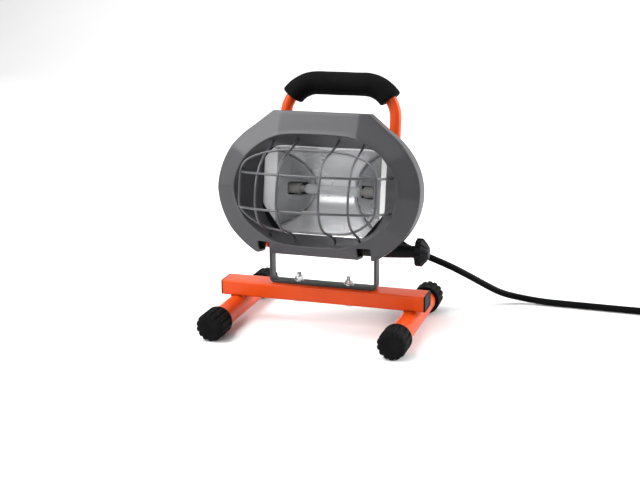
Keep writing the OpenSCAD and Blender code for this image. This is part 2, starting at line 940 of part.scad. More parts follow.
module hoop_path(r) {
    straight = handle_z - hoop_r - hoop_foot_r;
    both_sides() {
        translate([handle_x, hoop_y, hoop_foot_r])
            cylinder(h = straight, r = r);
        translate([handle_x, hoop_y - hoop_foot_r, hoop_foot_r])
            rotate([0, 90, 0])
                rotate_extrude(angle = 90)
                    translate([hoop_foot_r, 0])
                        circle(r);
        translate([handle_x, 0, 0])
            y_rod(hoop_round_y, hoop_y - hoop_foot_r + eps, r);
        translate([handle_x - hoop_r, hoop_y, handle_z - hoop_r])
            rotate([90, 0, 0])
                rotate_extrude(angle = 90)
                    translate([hoop_r, 0])
                        circle(r);
    }
    translate([0, hoop_y, handle_z])
        x_rod(-handle_x + hoop_r, handle_x - hoop_r, r);
}

// Round hoop whose ends are pressed flat and pierced for the pivot bolts
module handle_tube() {
    color("orangered")
        difference() {
            union() {
                difference() {
                    hoop_path(handle_d / 2);
                    hoop_path(handle_d / 2 - tube_t);
                }
                both_sides() {
                    hull() {
                        translate([handle_x, 0, 0])
                            y_rod(hoop_round_y, hoop_round_y + 0.5, handle_d / 2);
                        translate([hoop_end_x, hoop_flat_y - 1, -hoop_flat_r])
                            cube([hoop_end_t, 1, 2 * hoop_flat_r]);
                    }
                    translate([hoop_end_x, 0, -hoop_flat_r])
                        cube([hoop_end_t, hoop_flat_y, 2 * hoop_flat_r]);
                    x_rod(hoop_end_x, hoop_end_x + hoop_end_t, hoop_flat_r);
                }
            }
            x_rod(-80, 80, pivot_r + fit);
        }
}

// Section of the foam; the bends are drawn a hair thinner so that they join the straight part inside it
module grip_section(thinner = 0) {
    difference() {
        circle(grip_d / 2 - thinner);
        circle(handle_d / 2 + fit + thinner);
    }
}

module grip_bend() {
    translate([handle_x - hoop_r, hoop_y, handle_z - hoop_r])
        rotate([90, 0, 0])
            rotate([0, 0, 90 - grip_turn])
                rotate_extrude(angle = grip_turn + grip_lap)
                    translate([hoop_r, 0])
                        grip_section(0.02);
}

module handle_grip() {
    straight = handle_x - hoop_r;
    color("#161616")
        union() {
            both_sides()
                grip_bend();
            translate([-straight, hoop_y, handle_z])
                rotate([0, 90, 0])
                    linear_extrude(2 * straight)
                        grip_section();
        }
}

module tilt_knob() {
    grips = 10;
    color("#161616")
        difference() {
            union() {
                translate([knob_x, 0, 0])
                    rotate([0, 90, 0])
                        cylinder(h = knob_flange_x - knob_x + eps, r1 = 8, r2 = 5.7);
                x_rod(knob_flange_x, knob_flange_x + knob_flange_t, 14);
                translate([knob_flange_x + knob_flange_t - eps, 0, 0])
                    rotate([0, 90, 0])
                        cylinder(h = knob_tip_x - knob_flange_x - knob_flange_t, r1 = 11, r2 = 6.5);
            }
            for (k = [0 : grips - 1])
                rotate([360 / grips * k, 0, 0])
                    translate([0, 0, 15.2])
                        x_rod(knob_flange_x - 1, knob_tip_x, 2.4);
            x_rod(knob_x - 1, knob_x + 18, 5);
            x_rod(knob_x - 1, knob_x + 28, pivot_r + gap);
        }
}

module knob_insert() {
    color("#b08d4a")
        difference() {
            x_rod(knob_x, knob_x + 18, 5 - fit);
            x_rod(knob_x - 1, knob_x + 19, pivot_r + fit);
        }
}

// ---------------------------------------------------------------- cord

function tilted(p) = [p[0], p[1] * cos(tilt) + p[2] * sin(tilt), pivot_z - p[1] * sin(tilt) + p[2] * cos(tilt)];
function relief_at(s) = tilted([wire_box_x - 6.5 + s * cos(relief_angle), relief_y,
    wire_box_z0 + 6.5 - s * sin(relief_angle)]);
cord_start = relief_at(relief_l + 10.5 + gap / 3);
cord_next = relief_at(relief_l + 22);
cord_mid = [[114, 69, 52], [131, 83, 39], [147, 99, 25], [163, 114, 12], [180, 123, cord_r + 0.5],
    [200, 124, cord_r], [230, 122, cord_r], [270, 121, cord_r], [320, 120, cord_r], [360, 120, cord_r],
    [coil_x - 4, coil_y - coil_d / 2, cord_r]];
cord_route = concat([cord_start, cord_next], cord_mid);
plug_at = [coil_x - coil_d / 2 - cord_r, 96, plug_r];
cord_tail = [[plug_at[0] + 3, coil_y, 17], [plug_at[0] + 1, coil_y - 16, 16.5],
    [plug_at[0], plug_at[1] + plug_taper + 16, plug_r + 1.5], [plug_at[0], plug_at[1] + plug_taper + 5, plug_r],
    [plug_at[0], plug_at[1] + plug_taper + gap / 3, plug_r]];

// The run along the floor into the coil, and the tail from the coil over it to the plug
module mains_cord() {
    color("#151515") {
        wire(cut_open(cut_open(cord_route)), cord_r, unit([0.2, 0.1, 1]), 12);
        wire(cut_open(cut_open(cord_tail)), cord_r, [0, 0, 1], 12);
    }
}

module cord_coil() {
    color("#151515")
        translate([coil_x, coil_y, tie_t + coil_h / 2])
            rotate_extrude()
                translate([coil_d / 2, 0])
                    round_rect(coil_w, coil_h, 6);
}

// Tie round the bundle, opposite where the cord comes in
module cord_tie() {
    color("#303030")
        translate([coil_x, coil_y + coil_d / 2, tie_t + coil_h / 2])
            rotate([0, 90, 0])
                translate([0, 0, -2.5])
                    linear_extrude(5)
                        difference() {
                            round_rect(coil_h + 2 * tie_t, coil_w + 2 * tie_t, 6.5);
                            round_rect(coil_h + gap, coil_w + gap, 6);
                        }
}

module plug_place() {
    translate(plug_at)
        rotate([0, 0, -90])
            children();
}

module mains_plug() {
    color("#151515")
        plug_place()
            difference() {
                union() {
                    x_rod(0, plug_l, plug_r);
                    translate([-plug_taper, 0, 0])
                        rotate([0, 90, 0])
                            cylinder(h = plug_taper + eps, r1 = cord_r + 1.5, r2 = plug_r - 2);
                }
                x_rod(-plug_taper - 1, 8, cord_r + fit);
            }
}

module plug_blades() {
    color("#c9ab62")
        plug_place() {
            for (y = [-6.35, 6.35])
                translate([plug_l, y - 0.75, -1.2])
                    cube([blade_l, 1.5, 6.4]);
            translate([0, 0, -8])
                x_rod(plug_l, plug_l + blade_l + 2, 2.4);
        }
}

// ---------------------------------------------------------------- nodes

crossbar();
crossbar_plugs();
foot_tube(-1);  // foot_tube_left
foot_tube(1);  // foot_tube_right
foot_welds();
foot_cap(-1, -1);  // foot_cap_front_left
foot_cap(1, -1);  // foot_cap_front_right
foot_cap(-1, 1);  // foot_cap_rear_left
foot_cap(1, 1);  // foot_cap_rear_right
yoke();
yoke_bolts();
yoke_washers();
yoke_nuts();
on_head() housing();
on_head() front_shroud();
on_head() shroud_screws();
on_head() wire_guard();
on_head() lens_gasket();
on_head() lens_glass();
on_head() reflector();
on_head() halogen_lamp();
on_head() lampholder(-1);  // lampholder_left
on_head() lampholder(1);  // lampholder_right
on_head() lampholder_contacts();
on_head() lamp_leads();
on_head() wiring_box();
on_head() box_screws();
on_head() box_gasket();
on_head() box_cover();
on_head() cover_screws();
on_head() connector_block();
on_head() ground_screw();
on_head() switch_body();
on_head() switch_rocker();
on_head() strain_relief();
on_head() pivot_bolts();
on_head() pivot_washers();
on_head() pivot_nut();
on_head() handle_tube();
on_head() handle_grip();
on_head() tilt_knob();
on_head() knob_insert();
mains_cord();
cord_coil();
cord_tie();
mains_plug();
plug_blades();
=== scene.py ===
"""Looks of the portable work light: pieces, materials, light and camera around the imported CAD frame."""
import math

import bmesh
import bpy
import numpy as np
from mathutils import Matrix, Vector, noise


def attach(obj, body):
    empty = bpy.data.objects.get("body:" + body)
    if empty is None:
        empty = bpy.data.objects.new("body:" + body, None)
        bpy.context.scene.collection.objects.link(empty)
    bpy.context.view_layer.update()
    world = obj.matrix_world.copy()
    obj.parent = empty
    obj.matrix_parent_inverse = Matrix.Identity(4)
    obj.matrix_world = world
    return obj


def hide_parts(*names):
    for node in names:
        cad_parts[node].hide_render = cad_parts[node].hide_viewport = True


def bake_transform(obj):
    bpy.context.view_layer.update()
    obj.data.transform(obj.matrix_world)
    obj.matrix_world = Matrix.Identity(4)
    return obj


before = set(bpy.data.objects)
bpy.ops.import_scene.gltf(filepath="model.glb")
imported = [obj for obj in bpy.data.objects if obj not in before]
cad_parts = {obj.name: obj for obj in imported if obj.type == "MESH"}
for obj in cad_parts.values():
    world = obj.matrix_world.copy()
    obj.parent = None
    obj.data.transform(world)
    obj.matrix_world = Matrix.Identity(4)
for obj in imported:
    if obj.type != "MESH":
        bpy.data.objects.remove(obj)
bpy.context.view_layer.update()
MM = 0.001

# ------------------------------------------------------------ dimensions, millimetres

PIVOT_Z = 83.5
TILT = 9.25
TO_WORLD = Matrix.Scale(MM, 4)
TO_HEAD = (TO_WORLD @ Matrix.Translation((0, 0, PIVOT_Z))
           @ Matrix.Rotation(math.radians(-TILT), 4, "X"))

BAR_L, BAR_W, BAR_H, BAR_CORNER, BAR_PLUG_T = 216.0, 26.0, 16.0, 2.6, 1.5
FOOT_D, FOOT_X, FOOT_Z = 22.0, 92.0, 14.3
CAP_D, CAP_L, STAND_DEPTH, CAP_ROUND, CAP_END_T = 29.2, 27.0, 172.0, 5.0, 4.0
FLUTES, FLUTE_DEPTH, FLUTE_START = 14, 1.35, 3.0
BAR_Z = FOOT_Z + FOOT_D / 2
BAR_TOP = BAR_Z + BAR_H
YOKE_W, YOKE_T, YOKE_SPAN, YOKE_BEND = 13.0, 2.5, 113.0, 4.6
YOKE_BOLT_X, NUT_AF, NUT_H, WASHER_T, BOLT_R = 26.5, 8.0, 4.0, 1.0, 2.5

FACE_Y, RIM_Y, CROWN_Y = -32.0, -14.0, -41.0
OVAL_A, OVAL_B, OVAL_Z = 104.0, 81.0, 57.0
BROW_X, BROW_Z, SHOULDER_X, SHOULDER_Z, SILL_Z = 49.0, 133.5, 69.0, 117.5, -8.5
MOUTH_A, MOUTH_B, MOUTH_TOP, MOUTH_SILL, MOUTH_BROW_X = 81.0, 58.0, 110.5, 2.5, 40.0
THROAT_Y, WINDOW_A, WINDOW_TOP, WINDOW_SILL, WINDOW_ROUNDING, MOUTH_ROUNDING = -10.0, 66.5, 99.5, 9.0, 11, 26
SHROUD_T, SHROUD_SHARP = 2.5, 22
NOTCH_X, NOTCH_W, NOTCH_H = 51.5, 13.5, 12.5
CAST_HALF = [(47, 0.5), (75, 36), (75, 88), (57, 108)]
GLASS_Y, GLASS_T = -9.4, 4.0
LAMP_Y, LAMP_Z = 22.5, 54.0
CAST_T = 2.5

HANDLE_R, GRIP_R, HANDLE_X, HANDLE_Z = 6.0, 12.0, 58.8, 163.0
HOOP_R, HOOP_FOOT_R, HOOP_Y, GRIP_TURN = 34.0, 10.0, 38.5, 55.0
HOOP_FLAT_Y, HOOP_ROUND_Y, HOOP_FLAT_R, HOOP_FLAT_T, HOOP_SIDES = 24.0, 28.0, 7.0, 4.0, 32
GRIP_ROUNDING, GRIP_SIDES, GRIP_LUMPS = 2.2, 56, 0.18

CORD_R, CORD_LENGTH = 3.5, 1500.0
COIL_X, COIL_Y, COIL_R, TIE_T = 372.0, 158.0, 37.0, 0.9
PLUG_X, PLUG_Y, PLUG_R, PLUG_TAPER = 331.5, 96.0, 13.0, 14.0


# ------------------------------------------------------------ mesh helpers

def place(verts, to=TO_WORLD):
    """Points in millimetres carried to the shared frame in metres."""
    return [to @ Vector(v) for v in verts]


def piece(name, verts, faces, material, body, stands_for=(), slot=None, to=TO_WORLD, sharp=35):
    """A mesh object of the work light, smooth except across edges sharper than sharp degrees."""
    mesh = bpy.data.meshes.new(name)
    mesh.from_pydata(place(verts, to), [], faces)
    mesh.validate()
    face_outwards(mesh)
    smooth_except(mesh, sharp)
    mesh.materials.append(material)
    obj = bpy.data.objects.new(name, mesh)
    bpy.context.scene.collection.objects.link(obj)
    if body:
        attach(obj, body)
    if stands_for:
        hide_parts(*stands_for)
    return obj


def face_outwards(mesh):
    bm = bmesh.new()
    bm.from_mesh(mesh)
    bmesh.ops.recalc_face_normals(bm, faces=bm.faces)
    bm.to_mesh(mesh)
    bm.free()


def smooth_except(mesh, sharp):
    """Smooth shading except across edges sharper than sharp degrees."""
    mesh.polygons.foreach_set("use_smooth", [True] * len(mesh.polygons))
    mesh.set_sharp_from_angle(angle=math.radians(sharp))


def loft(rings, closed=False, cap=True):
    """Vertices and faces through rings of equally many points; closed joins the last ring to the first."""
    n = len(rings[0])
    verts = [tuple(p) for ring in rings for p in ring]
    faces = []
    count = len(rings) if closed else len(rings) - 1
    for i in range(count):
        j = (i + 1) % len(rings)
        for k in range(n):
            m = (k + 1) % n
            faces.append((i * n + k, i * n + m, j * n + m, j * n + k))
    if cap and not closed:
        faces.append(tuple(range(n - 1, -1, -1)))
        faces.append(tuple((len(rings) - 1) * n + k for k in range(n)))
    return verts, faces


def join(*parts):
    """Several (verts, faces) as one."""
    verts, faces = [], []
    for v, f in parts:
        base = len(verts)
        verts += [tuple(p) for p in v]
        faces += [tuple(i + base for i in face) for face in f]
    return verts, faces


def moved(part, offset=(0, 0, 0), matrix=None):
    verts, faces = part
    if matrix is not None:
        verts = [matrix @ Vector(v) for v in verts]
    return [tuple(Vector(v) + Vector(offset)) for v in verts], faces


def mirrored(part):
    verts, faces = part
    return [(-x, y, z) for x, y, z in verts], [tuple(reversed(f)) for f in faces]


def lathe(profile, axis="X", sides=64, shape=None):
    """A closed solid turned from (along, radius) pairs; shape(angle, along) may scale the radius."""
    rings = []
    for along, radius in profile:
        ring = []
        for k in range(sides):
            a = 2 * math.pi * k / sides
            r = radius * (shape(a, along) if shape else 1)
            c, s = r * math.cos(a), r * math.sin(a)
            ring.append({"X": (along, c, s), "Y": (s, along, c), "Z": (c, s, along)}[axis])
        rings.append(ring)
    return loft(rings)


def frames(route):
    """Unit tangent, normal and binormal along a route, turned as little as possible."""
    p = [Vector(q) for q in route]
    tangents = []
    for i in range(len(p)):
        a, b = p[max(i - 1, 0)], p[min(i + 1, len(p) - 1)]
        tangents.append((b - a).normalized())
    seed = Vector((0, 0, 1)) if abs(tangents[0].z) < 0.9 else Vector((0, 1, 0))
    normal = (seed - tangents[0] * seed.dot(tangents[0])).normalized()
    made = []
    for t in tangents:
        normal = (normal - t * normal.dot(t)).normalized()
        made.append((t, normal, t.cross(normal)))
    return made


def tube(route, radius, sides=12, cap=True):
    """A tube along a route; radius is a number or one number per point."""
    radii = radius if hasattr(radius, "__len__") else [radius] * len(route)
    rings = []
    for q, r, (_, n, b) in zip(route, radii, frames(route)):
        q = Vector(q)
        rings.append([q + r * (math.cos(2 * math.pi * k / sides) * n + math.sin(2 * math.pi * k / sides) * b)
                      for k in range(sides)])
    return loft(rings, cap=cap)


def smooth_route(points, rounds=3, closed=False):
    """Corner cutting, as the CAD source does it."""
    p = [np.array(q, float) for q in points]
    for _ in range(rounds):
        q = []
        last = len(p) if closed else len(p) - 1
        for i in range(last):
            a, b = p[i], p[(i + 1) % len(p)]
            q += [0.75 * a + 0.25 * b, 0.25 * a + 0.75 * b]
        p = q if closed else [p[0]] + q + [p[-1]]
    return [tuple(v) for v in p]


def rounded_outline(points, radius, steps=6):
    """A closed outline in two dimensions with each corner rounded."""
    out = []
    n = len(points)
    for i in range(n):
        p, a, b = (np.array(points[j % n], float) for j in (i, i - 1, i + 1))
        r = radius[i] if hasattr(radius, "__len__") else radius
        u, v = (a - p) / np.linalg.norm(a - p), (b - p) / np.linalg.norm(b - p)
        half = math.acos(max(-1, min(1, float(u @ v)))) / 2
        if r <= 0 or half > 1.56:
            out.append(tuple(p))
            continue
        d = r / math.tan(half)
        d = min(d, 0.49 * np.linalg.norm(a - p), 0.49 * np.linalg.norm(b - p))
        start, end = p + u * d, p + v * d
        for k in range(steps + 1):
            t = k / steps
            q = (1 - t) ** 2 * start + 2 * t * (1 - t) * p + t ** 2 * end
            out.append(tuple(q))
    return out


def rounded_rect(w, h, r, steps=6):
    return rounded_outline([(-w / 2, -h / 2), (w / 2, -h / 2), (w / 2, h / 2), (-w / 2, h / 2)], r, steps)


def shrunk(outline, d):
    """A closed outline moved inwards by d along its corner bisectors; the outline runs anticlockwise."""
    n = len(outline)
    out = []
    for i in range(n):
        p, a, b = (np.array(outline[j % n], float) for j in (i, i - 1, i + 1))
        u, v = p - a, b - p
        if np.linalg.norm(u) < 1e-9 or np.linalg.norm(v) < 1e-9:
            out.append(tuple(p))
            continue
        u, v = u / np.linalg.norm(u), v / np.linalg.norm(v)
        m = np.array([-u[1], u[0]]) + np.array([-v[1], v[0]])
        m = m / max(np.linalg.norm(m), 1e-9)
        out.append(tuple(p + m * d / max(0.5, float(m @ np.array([-u[1], u[0]])))))
    return out


def slab(outline, low, high, bevel=0.5, axis="Y", steps=3):
    """A plate with rounded edges: the outline, in the two other axes, carried from low to high."""
    levels = [(low + bevel * (1 - math.cos(math.pi / 2 * k / steps)),
               bevel * (1 - math.sin(math.pi / 2 * k / steps))) for k in range(steps + 1)]
    levels += [(low + high - at, inset) for at, inset in reversed(levels)]
    rings = []
    for at, inset in levels:
        flat = shrunk(outline, inset)
        rings.append([{"X": (at, u, v), "Y": (u, at, v), "Z": (u, v, at)}[axis] for u, v in flat])
    return loft(rings)


# ------------------------------------------------------------ materials

# The middle of a noise texture's values, where nearly all of them lie
NOISE_LOW, NOISE_HIGH = 0.3, 0.7


def new_material(name):
    m = bpy.data.materials.new(name)
    m.use_nodes = True
    nt = m.node_tree
    shader = next(n for n in nt.nodes if n.type == "BSDF_PRINCIPLED")
    coords = nt.nodes.new("ShaderNodeTexCoord")
    return m, nt, shader, coords


def noise_node(nt, coords, scale, detail=4.0, rough=0.55, stretch=None):
    tex = nt.nodes.new("ShaderNodeTexNoise")
    tex.inputs["Scale"].default_value = scale
    tex.inputs["Detail"].default_value = detail
    tex.inputs["Roughness"].default_value = rough
    if stretch:
        mapping = nt.nodes.new("ShaderNodeMapping")
        mapping.inputs["Scale"].default_value = stretch
        nt.links.new(coords.outputs["Object"], mapping.inputs["Vector"])
        nt.links.new(mapping.outputs["Vector"], tex.inputs["Vector"])
    else:
        nt.links.new(coords.outputs["Object"], tex.inputs["Vector"])
    return tex


def ramp(nt, source, stops):
    node = nt.nodes.new("ShaderNodeValToRGB")
    elements = node.color_ramp.elements
    while len(elements) < len(stops):
        elements.new(0.5)
    for e, (at, colour) in zip(elements, stops):
        e.position = at
        e.color = (*colour, 1) if len(colour) == 3 else colour
    nt.links.new(source, node.inputs["Fac"])
    return node


def span(nt, source, low, high):
    """The middle of a noise value's range stretched to run from low to high."""
    node = nt.nodes.new("ShaderNodeMapRange")
    node.inputs["From Min"].default_value = NOISE_LOW
    node.inputs["From Max"].default_value = NOISE_HIGH
    node.inputs["To Min"].default_value = low
    node.inputs["To Max"].default_value = high
    nt.links.new(source, node.inputs["Value"])
    return node


def bump(nt, shader, height, strength, distance, after=None):
    node = nt.nodes.new("ShaderNodeBump")
    node.inputs["Strength"].default_value = strength
    node.inputs["Distance"].default_value = distance
    nt.links.new(height, node.inputs["Height"])
    if after:
        nt.links.new(after.outputs["Normal"], node.inputs["Normal"])
    nt.links.new(node.outputs["Normal"], shader.inputs["Normal"])
    return node


def surface(name, dark, light, rough, grain, grain_depth, cloud=18.0, metallic=0.0, specular=0.5, coat=0.0):
    """A finish with slow colour clouds, roughness variation and a fine grain in relief."""
    m, nt, shader, coords = new_material(name)
    clouds = noise_node(nt, coords, cloud, 5)
    fine = noise_node(nt, coords, grain, 3, 0.6)
    tint = ramp(nt, clouds.outputs["Fac"], [(0.3, dark), (0.72, light)])
    nt.links.new(tint.outputs["Color"], shader.inputs["Base Color"])
    rough_node = span(nt, fine.outputs["Fac"], rough[0], rough[1])
    nt.links.new(rough_node.outputs["Result"], shader.inputs["Roughness"])
    bump(nt, shader, fine.outputs["Fac"], 0.35, grain_depth)
    shader.inputs["Metallic"].default_value = metallic
    shader.inputs["Specular IOR Level"].default_value = specular
    shader.inputs["Coat Weight"].default_value = coat
    shader.inputs["Coat Roughness"].default_value = 0.15
    return m


def orange_paint():
    return surface("orange_paint", (0.51, 0.047, 0.003), (0.58, 0.058, 0.005), (0.3, 0.42), 900,
                   0.00006, cloud=30, coat=0.03, specular=0.2)


def shroud_grey():
    return surface("shroud_grey", (0.032, 0.0315, 0.036), (0.039, 0.0385, 0.044), (0.42, 0.54), 1400,
                   0.00008, cloud=14, metallic=0.2, coat=0.05)


def black_casting():
    return surface("black_casting", (0.006, 0.006, 0.006), (0.012, 0.012, 0.012), (0.5, 0.65), 1100,
                   0.00012, cloud=25, specular=0.3)


def black_rubber():
    return surface("black_rubber", (0.0025, 0.0025, 0.0025), (0.006, 0.006, 0.006), (0.65, 0.8), 1500,
                   0.0001, cloud=45, specular=0.06)


def black_plastic():
    return surface("black_plastic", (0.003, 0.003, 0.004), (0.007, 0.007, 0.008), (0.4, 0.55), 1800, 0.00005,
                   cloud=30, specular=0.07)


def gloss_black():
    return surface("gloss_black", (0.008, 0.008, 0.009), (0.014, 0.014, 0.015), (0.14, 0.24), 700,
                   0.00002, cloud=60)


def foam():
    m, nt, shader, coords = new_material("grip_foam")
    cells = nt.nodes.new("ShaderNodeTexVoronoi")
    cells.inputs["Scale"].default_value = 1300
    nt.links.new(coords.outputs["Object"], cells.inputs["Vector"])
    clouds = noise_node(nt, coords, 40, 5)
    tint = ramp(nt, clouds.outputs["Fac"], [(NOISE_LOW, (0.003, 0.003, 0.003)),
                                           (NOISE_HIGH, (0.006, 0.006, 0.006))])
    nt.links.new(tint.outputs["Color"], shader.inputs["Base Color"])
    shader.inputs["Roughness"].default_value = 0.85
    shader.inputs["Specular IOR Level"].default_value = 0.04
    first = bump(nt, shader, clouds.outputs["Fac"], 0.4, 0.0006)
    bump(nt, shader, cells.outputs["Distance"], 0.5, 0.0002, first)
    return m


def steel(name, tone, rough, grain=(1, 1, 30), scale=120, metallic=1.0):
    m, nt, shader, coords = new_material(name)
    streaks = noise_node(nt, coords, scale, 4, 0.6, grain)
    low, high = [c * 0.86 for c in tone], [min(1, c * 1.08) for c in tone]
    tint = ramp(nt, streaks.outputs["Fac"], [(NOISE_LOW, low), (NOISE_HIGH, high)])
    nt.links.new(tint.outputs["Color"], shader.inputs["Base Color"])
    rough_node = span(nt, streaks.outputs["Fac"], rough * 0.8, rough * 1.3)
    nt.links.new(rough_node.outputs["Result"], shader.inputs["Roughness"])
    shader.inputs["Metallic"].default_value = metallic
    bump(nt, shader, streaks.outputs["Fac"], 0.2, 0.00005)
    return m


def reflector_sheet(name, low, high, metallic):
    m, nt, shader, coords = new_material(name)
    dimples = nt.nodes.new("ShaderNodeTexVoronoi")
    dimples.inputs["Scale"].default_value = 260
    dimples.feature = "SMOOTH_F1"
    nt.links.new(coords.outputs["Object"], dimples.inputs["Vector"])
    clouds = noise_node(nt, coords, 25, 3)
    tint = ramp(nt, clouds.outputs["Fac"], [(NOISE_LOW, low), (NOISE_HIGH, high)])
    nt.links.new(tint.outputs["Color"], shader.inputs["Base Color"])
    rough_node = span(nt, clouds.outputs["Fac"], 0.2, 0.3)
    nt.links.new(rough_node.outputs["Result"], shader.inputs["Roughness"])
    shader.inputs["Metallic"].default_value = metallic
    bump(nt, shader, dimples.outputs["Distance"], 0.2, 0.00025)
    return m


def clear_glass(name, alpha, tint):
    m, nt, shader, coords = new_material(name)
    smears = noise_node(nt, coords, 22, 4)
    rough_node = span(nt, smears.outputs["Fac"], 0.02, 0.06)
    nt.links.new(rough_node.outputs["Result"], shader.inputs["Roughness"])
    lighter = [min(1, c * 1.05) for c in tint]
    shade = ramp(nt, smears.outputs["Fac"], [(NOISE_LOW, tint), (NOISE_HIGH, lighter)])
    nt.links.new(shade.outputs["Color"], shader.inputs["Base Color"])
    shader.inputs["Alpha"].default_value = alpha
    return m


def ceramic():
    return surface("ceramic", (0.17, 0.165, 0.16), (0.24, 0.235, 0.225), (0.5, 0.65), 900, 0.00006,
                   cloud=60)


ORANGE = orange_paint()
GREY = shroud_grey()
CASTING = black_casting()
RUBBER = black_rubber()
PLASTIC = black_plastic()
GLOSS = gloss_black()
FOAM = foam()
YOKE = surface("yoke_steel", (0.028, 0.028, 0.030), (0.045, 0.045, 0.047), (0.45, 0.6), 800,
               0.00005, cloud=40, metallic=0.1, specular=0.3)
ZINC = steel("zinc_steel", (0.66, 0.67, 0.69), 0.26)
WIRE = steel("guard_wire", (0.085, 0.085, 0.092), 0.36, scale=200, metallic=0.7)
BRASS = steel("brass", (0.72, 0.52, 0.24), 0.3)
MIRROR = reflector_sheet("reflector_sheet", (0.86, 0.86, 0.88), (0.95, 0.95, 0.96), 0.72)
# Lit copy of the reflector aluminium: non-metallic and whiter, a painted highlight on the flanges.
LIT_FLANGE_SHEET = reflector_sheet("reflector_flange_painted_highlight", (0.95, 0.95, 0.955), (0.98, 0.98, 0.985), 0.0)
# Shaded copy of the same aluminium: a darker base colour, painted shade and dark reflection on the end
# plates.
SHADED_END_SHEET = reflector_sheet("reflector_ends_painted_shade", (0.42, 0.42, 0.44), (0.56, 0.56, 0.58), 0.8)
GLASS = clear_glass("clear_glass", 0.05, (0.03, 0.04, 0.04))
QUARTZ = clear_glass("quartz", 0.45, (0.62, 0.64, 0.65))
CERAMIC = ceramic()
SLEEVE = surface("lead_sleeve", (0.62, 0.60, 0.54), (0.74, 0.72, 0.66), (0.6, 0.75), 900, 0.00005, cloud=60,
                 specular=0.3)
GROUND = surface("ground_screw_green", (0.02, 0.16, 0.05), (0.03, 0.22, 0.07), (0.3, 0.45), 700,
                 0.00003, cloud=60, metallic=0.5)
JACKET = surface("cord_jacket", (0.0015, 0.0015, 0.002), (0.0035, 0.0035, 0.004), (0.5, 0.62), 1200, 0.00005,
                 cloud=50, specular=0.04)


# ------------------------------------------------------------ camera, light and floor

CAMERA_AT = (0.34767, -1.09123, 0.40145)
CAMERA_TURN, CAMERA_DROP, CAMERA_ROLL = 17.86, 14.79, -0.48
FOCAL_PX, CENTRE_PX, CENTRE_PY = 1177.35, 320.0, 230.0
PICTURE_W, PICTURE_H, SENSOR = 640, 480, 36.0


def make_camera():
    a, e, r = (math.radians(v) for v in (CAMERA_TURN, CAMERA_DROP, CAMERA_ROLL))
    back = Vector((math.sin(a) * math.cos(e), -math.cos(a) * math.cos(e), math.sin(e)))
    right = Vector((math.cos(a), math.sin(a), 0))
    up = right.cross(-back)
    right_rolled = right * math.cos(r) + up * math.sin(r)
    up_rolled = -right * math.sin(r) + up * math.cos(r)
    data = bpy.data.cameras.new("camera")
    data.sensor_width = SENSOR
    data.lens = FOCAL_PX * SENSOR / PICTURE_W
    data.shift_x = (PICTURE_W / 2 - CENTRE_PX) / PICTURE_W
    data.shift_y = (CENTRE_PY - PICTURE_H / 2) / PICTURE_W
    cam = bpy.data.objects.new("camera", data)
    bpy.context.scene.collection.objects.link(cam)
    cam.matrix_world = Matrix((
        (right_rolled.x, up_rolled.x, back.x, CAMERA_AT[0]),
        (right_rolled.y, up_rolled.y, back.y, CAMERA_AT[1]),
        (right_rolled.z, up_rolled.z, back.z, CAMERA_AT[2]),
        (0, 0, 0, 1)))
    bpy.context.scene.camera = cam


def area_light(name, at, target, size, power):
    data = bpy.data.lights.new(name, "AREA")
    data.shape = "RECTANGLE"
    data.size, data.size_y = size
    data.energy = power
    lamp = bpy.data.objects.new(name, data)
    bpy.context.scene.collection.objects.link(lamp)
    lamp.location = at
    lamp.rotation_mode = "QUATERNION"
    lamp.rotation_quaternion = (Vector(target) - Vector(at)).to_track_quat("-Z", "Y")


def make_studio():
    world = bpy.data.worlds.new("studio")
    world.use_nodes = True
    background = world.node_tree.nodes["Background"]
    background.inputs["Color"].default_value = (1, 1, 1, 1)
    background.inputs["Strength"].default_value = 0.24
    scene = bpy.context.scene
    scene.world = world
    scene.view_settings.view_transform = "Standard"
    area_light("overhead", (-0.7, -0.3, 1.5), (0, 0, 0.1), (1.3, 1.0), 34)
    area_light("front_soft", (-0.45, -1.75, 1.2), (0, 0, 0.14), (1.2, 0.8), 12)
    area_light("right_rear", (1.2, 0.6, 0.6), (0, 0, 0.15), (0.7, 1.0), 26)
    area_light("left_wall", (-1.6, -0.75, 1.1), (0, 0, 0.14), (0.9, 1.0), 24)
    area_light("front_floor", (0.2, -2.2, 1.4), (0.2, -0.9, 0.0), (2.0, 1.0), 12)
    area_light("backdrop", (0, 1.2, 1.9), (0, 2.2, 0.3), (2.5, 1.0), 30)
    make_floor()


def make_floor():
    """A pale floor that curves up into a backdrop."""
    m = surface("floor_paper", (0.80, 0.80, 0.80), (0.83, 0.83, 0.83), (0.85, 0.95), 400, 0.00005, cloud=2,
                specular=0.2)
    turn, start, half, high = 1.0, 1.6, 5.0, 3.5
    line = [(-6.0, 0.0), (start, 0.0)]
    line += [(start + turn * math.sin(a), turn * (1 - math.cos(a)))
             for a in (math.pi / 2 * k / 16 for k in range(1, 17))]
    line.append((start + turn, high))
    verts = [(x, y, z) for y, z in line for x in (-half, half)]
    faces = [(2 * i, 2 * i + 1, 2 * i + 3, 2 * i + 2) for i in range(len(line) - 1)]
    mesh = bpy.data.meshes.new("floor")
    mesh.from_pydata(verts, [], faces)
    mesh.polygons.foreach_set("use_smooth", [True] * len(mesh.polygons))
    mesh.materials.append(m)
    floor = bpy.data.objects.new("floor", mesh)
    bpy.context.scene.collection.objects.link(floor)
    floor.location.z = -0.0003


make_camera()
make_studio()


# ------------------------------------------------------------ cord

WIRE_BOX_X, WIRE_BOX_Z0, RELIEF_Y, RELIEF_ANGLE, RELIEF_L = 32.0, 20.0, 53.0, 31.0, 36.0
CORD_MID = [(114, 69, 52), (131, 83, 39), (147, 99, 25), (163, 114, 12), (181, 123, 6), (205, 123, 3.5),
            (230, 122, 3.5), (270, 121, 3.5), (320, 120, 3.5), (360, 119, 3.9)]
LAYER_STEP, TURN_STEP, TOP_TURN = 6.4, 7.2, 0.75


